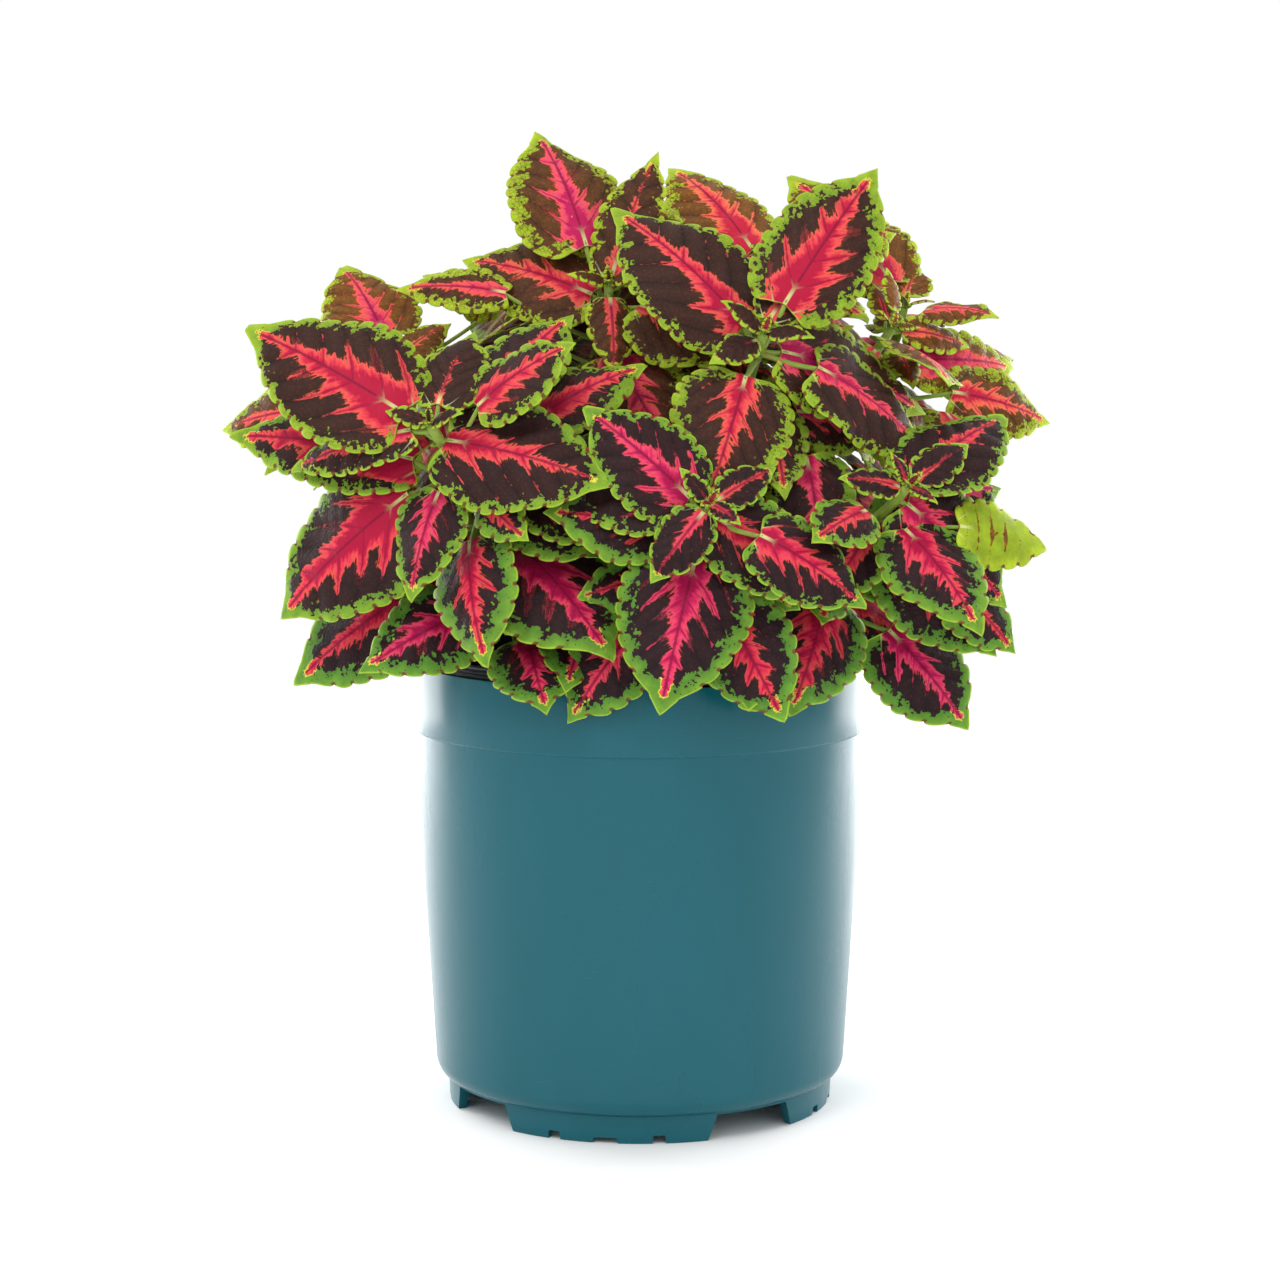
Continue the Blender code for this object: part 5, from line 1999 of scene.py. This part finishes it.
@dataclass
class PottingMix:
    """The peat that the stems stand in, with crumbs, bark and perlite on top. Millimetres."""

    top: float = 143.0
    crown: float = 3.0
    edge_r: float = 80.1
    low_r: float = 72.6
    low_z: float = 18.0
    floor_r: float = 69.6
    floor_z: float = 11.5
    rings: int = 44
    steps: int = 120
    crumbs: int = 900
    bark: int = 170
    perlite: int = 90
    # height and breadth of the two sizes of lumps in the surface
    lumps: tuple[tuple[float, float], ...] = ((1.5, 9.0), (0.8, 3.2))
    seed: int = 23
    slot: str = "potting_mix"

    def level(self, x: float, y: float) -> float:
        """Return the height of the surface at a place, in millimetres.

        Args:
            x: the place's X.
            y: its Y.

        Returns:
            The height, which is calmer near the wall.
        """
        radius = math.hypot(x, y)
        slope = self.top + self.crown * (1 - radius / self.edge_r)
        (coarse, wide), (fine, narrow) = self.lumps
        lumps = coarse * noise.noise(Vector((x, y, 3.0)) / wide) + fine * noise.noise(
            Vector((x, y, 7.0)) / narrow)
        return slope + lumps * min(1.0, (self.edge_r - radius) / 4 + 0.2) - 0.6

    def build(self, materials: list[bpy.types.Material]) -> None:
        """Build the potting mix.

        Args:
            materials: peat, bark and perlite.
        """
        draw = random.Random(self.seed)
        work = bmesh.new()
        self.body(work)
        kinds = [(self.crumbs, (0.7, 2.4), 0), (self.bark, (2.0, 5.5), 1),
                 (self.perlite, (0.9, 2.3), 2)]
        for count, sizes, slot in kinds:
            for _ in range(count):
                self.lump(work, draw, sizes, slot)
        mesh = bpy.data.meshes.new("potting_mix_top")
        work.to_mesh(mesh)
        work.free()
        mesh.shade_smooth()
        for material in materials:
            mesh.materials.append(material)
        seat(new_object("potting_mix_top", mesh), self.slot, "potting_mix")

    def ring(self, work: bmesh.types.BMesh, radius: float,
             z: float | None = None) -> list[bmesh.types.BMVert]:
        """Add a ring of corners round the axis.

        Args:
            work: the mesh that gathers the mix.
            radius: the ring's radius.
            z: its height, or None where it follows the uneven surface.

        Returns:
            The corners in order.
        """
        ring = []
        for step in range(self.steps):
            angle = step * 2 * math.pi / self.steps
            x, y = radius * math.cos(angle), radius * math.sin(angle)
            height = self.level(x, y) if z is None else z
            ring.append(work.verts.new(Vector((x, y, height)) * MM))
        return ring

    def body(self, work: bmesh.types.BMesh) -> None:
        """Add the closed body with its uneven surface.

        Args:
            work: the mesh that gathers the mix.
        """
        rings = [self.ring(work, self.edge_r * index / self.rings)
                 for index in range(1, self.rings + 1)]
        rings.append(self.ring(work, self.low_r, self.low_z))
        rings.append(self.ring(work, self.floor_r, self.floor_z))
        centre = work.verts.new(Vector((0, 0, self.level(0, 0))) * MM)
        foot = work.verts.new(Vector((0, 0, self.floor_z)) * MM)
        for k in range(self.steps):
            after = (k + 1) % self.steps
            work.faces.new((centre, rings[0][k], rings[0][after]))
            work.faces.new((foot, rings[-1][after], rings[-1][k]))
            for inner, outer in zip(rings, rings[1:]):
                work.faces.new((inner[k], outer[k], outer[after], inner[after]))

    def lump(self, work: bmesh.types.BMesh, draw: random.Random, sizes: tuple[float, float],
             slot: int) -> None:
        """Add one crumb, chip or bead on the surface.

        Args:
            work: the mesh that gathers the mix.
            draw: the random numbers.
            sizes: the least and greatest length in millimetres.
            slot: the material's slot; 1 is bark, which is flat and long.
        """
        radius = (self.edge_r - 4) * math.sqrt(draw.random())
        angle = draw.uniform(0, 2 * math.pi)
        x, y = radius * math.cos(angle), radius * math.sin(angle)
        size = draw.uniform(*sizes)
        stretch = (1.0, draw.uniform(0.3, 0.5), draw.uniform(0.12, 0.25)) if slot == 1 else (
            1.0, draw.uniform(0.6, 0.95), draw.uniform(0.5, 0.85))
        turn = Matrix.Rotation(draw.uniform(0, 6.28), 4, "Z") @ Matrix.Rotation(
            draw.uniform(-0.5, 0.5), 4, "X")
        made = bmesh.ops.create_icosphere(work, subdivisions=1, radius=0.5)
        for vert in made["verts"]:
            wobble = draw.uniform(0.75, 1.2)
            local = Vector((vert.co.x * stretch[0], vert.co.y * stretch[1],
                            vert.co.z * stretch[2])) * size * wobble
            vert.co = (Vector((x, y, self.level(x, y) + 0.2 * size)) + turn @ local) * MM
        for face in {f for vert in made["verts"] for f in vert.link_faces}:
            face.material_index = slot


@dataclass(frozen=True)
class SoftLamp:
    """A square area lamp: where it stands in metres, its side and its power in watts."""

    name: str
    place: tuple[float, float, float]
    size: float
    power: float


@dataclass(frozen=True)
class Studio:
    """The camera at the photograph's viewing angle, a pale floor and soft light. Metres."""

    distance: float = 1.15
    eye: float = 0.308
    down: float = 6.95
    focal_px: float = 3197.0
    image_px: float = 1280.0
    sensor_mm: float = 36.0
    floor_r: float = 9.0
    floor_steps: int = 96
    card: str = "#ffffff"
    sky: tuple[float, float, float, float] = (1.0, 1.0, 1.0, 1.0)
    aim: tuple[float, float, float] = (0.0, 0.0, 0.18)
    lamps: tuple[SoftLamp, ...] = (
        SoftLamp("key", (-0.7, -1.2, 1.7), 0.9, 9.0),
        SoftLamp("fill", (1.2, -1.2, 0.9), 0.9, 1.0),
        SoftLamp("side left", (-0.48, 0.45, 0.22), 0.55, 5.2),
        SoftLamp("side right", (0.48, 0.45, 0.22), 0.55, 5.2),
    )

    def build(self) -> None:
        """Build the camera, the floor, the surround and the lamps."""
        self.camera()
        self.floor()
        self.surround()
        for lamp in self.lamps:
            self.light(lamp)

    def camera(self) -> None:
        """Set the camera up in front of the plant, looking a little down.

        The lens comes from the focal length in the photograph's pixels.
        """
        camera = bpy.data.cameras.new("camera")
        camera.sensor_width = self.sensor_mm
        camera.lens = self.focal_px / self.image_px * camera.sensor_width
        eye = new_object("camera", camera)
        eye.location = (0.0, -self.distance, self.eye)
        eye.rotation_euler = (math.radians(90 - self.down), 0.0, 0.0)
        bpy.context.scene.camera = eye
        bpy.context.scene.view_settings.view_transform = "Standard"

    def floor(self) -> None:
        """Lay a matt white disc under the pot, as part of the stage.

        It has no gloss, so that it meets the surround without a line.
        """
        work = bmesh.new()
        bmesh.ops.create_circle(work, cap_ends=True, segments=self.floor_steps,
                                radius=self.floor_r)
        mesh = bpy.data.meshes.new("studio_floor")
        work.to_mesh(mesh)
        work.free()
        material, tree = new_material("matt white studio card")
        finish_surface(tree, add(tree, "BsdfPrincipled", Base_Color=linear(self.card),
                                 Roughness=0.85, Specular_IOR_Level=0.0))
        mesh.materials.append(material)
        new_object("studio_floor", mesh)

    def surround(self) -> None:
        """Set an even white light all round."""
        world = bpy.data.worlds.new("white surround")
        world.use_nodes = True
        world.node_tree.nodes.clear()
        sky = add(world.node_tree, "Background", self.sky, 1.0)
        add(world.node_tree, "OutputWorld", sky)
        bpy.context.scene.world = world

    def light(self, lamp: SoftLamp) -> None:
        """Add a lamp that faces the plant and is not seen itself.

        Args:
            lamp: the lamp's place, size and power.
        """
        light = bpy.data.lights.new(lamp.name, "AREA")
        light.shape = "SQUARE"
        light.size = lamp.size
        light.energy = lamp.power
        holder = new_object(lamp.name, light)
        holder.location = lamp.place
        ahead = Vector(self.aim) - Vector(lamp.place)
        holder.rotation_euler = ahead.to_track_quat("-Z", "Y").to_euler()
        holder.visible_camera = False


def main() -> None:
    """Build the studio, the pot, the potting mix and the leafy stems."""
    logging.basicConfig(level=logging.INFO, format="%(message)s")
    Studio().build()
    teal = MouldedPlastic("teal moulded polypropylene", "#055460", "#0a5d69").build()
    black = MouldedPlastic("black moulded polypropylene", "#17181c", "#23252b",
                           roughness=(0.28, 0.4)).build()
    NurseryPot().build(teal, black)
    PottingMix().build([
        Crumb("peat crumbs", ("#120b07", "#3a2618"), 0.9).build(),
        Crumb("composted bark", ("#2a170c", "#5a3a22"), 1.3).build(),
        Crumb("expanded perlite", ("#b8b4aa", "#f0ece2"), 0.7, 0.8).build()])
    Foliage().build([LeafTissue().build(), LeafBack().build(), StemSkin().build()])


if __name__ == "__main__":
    main()
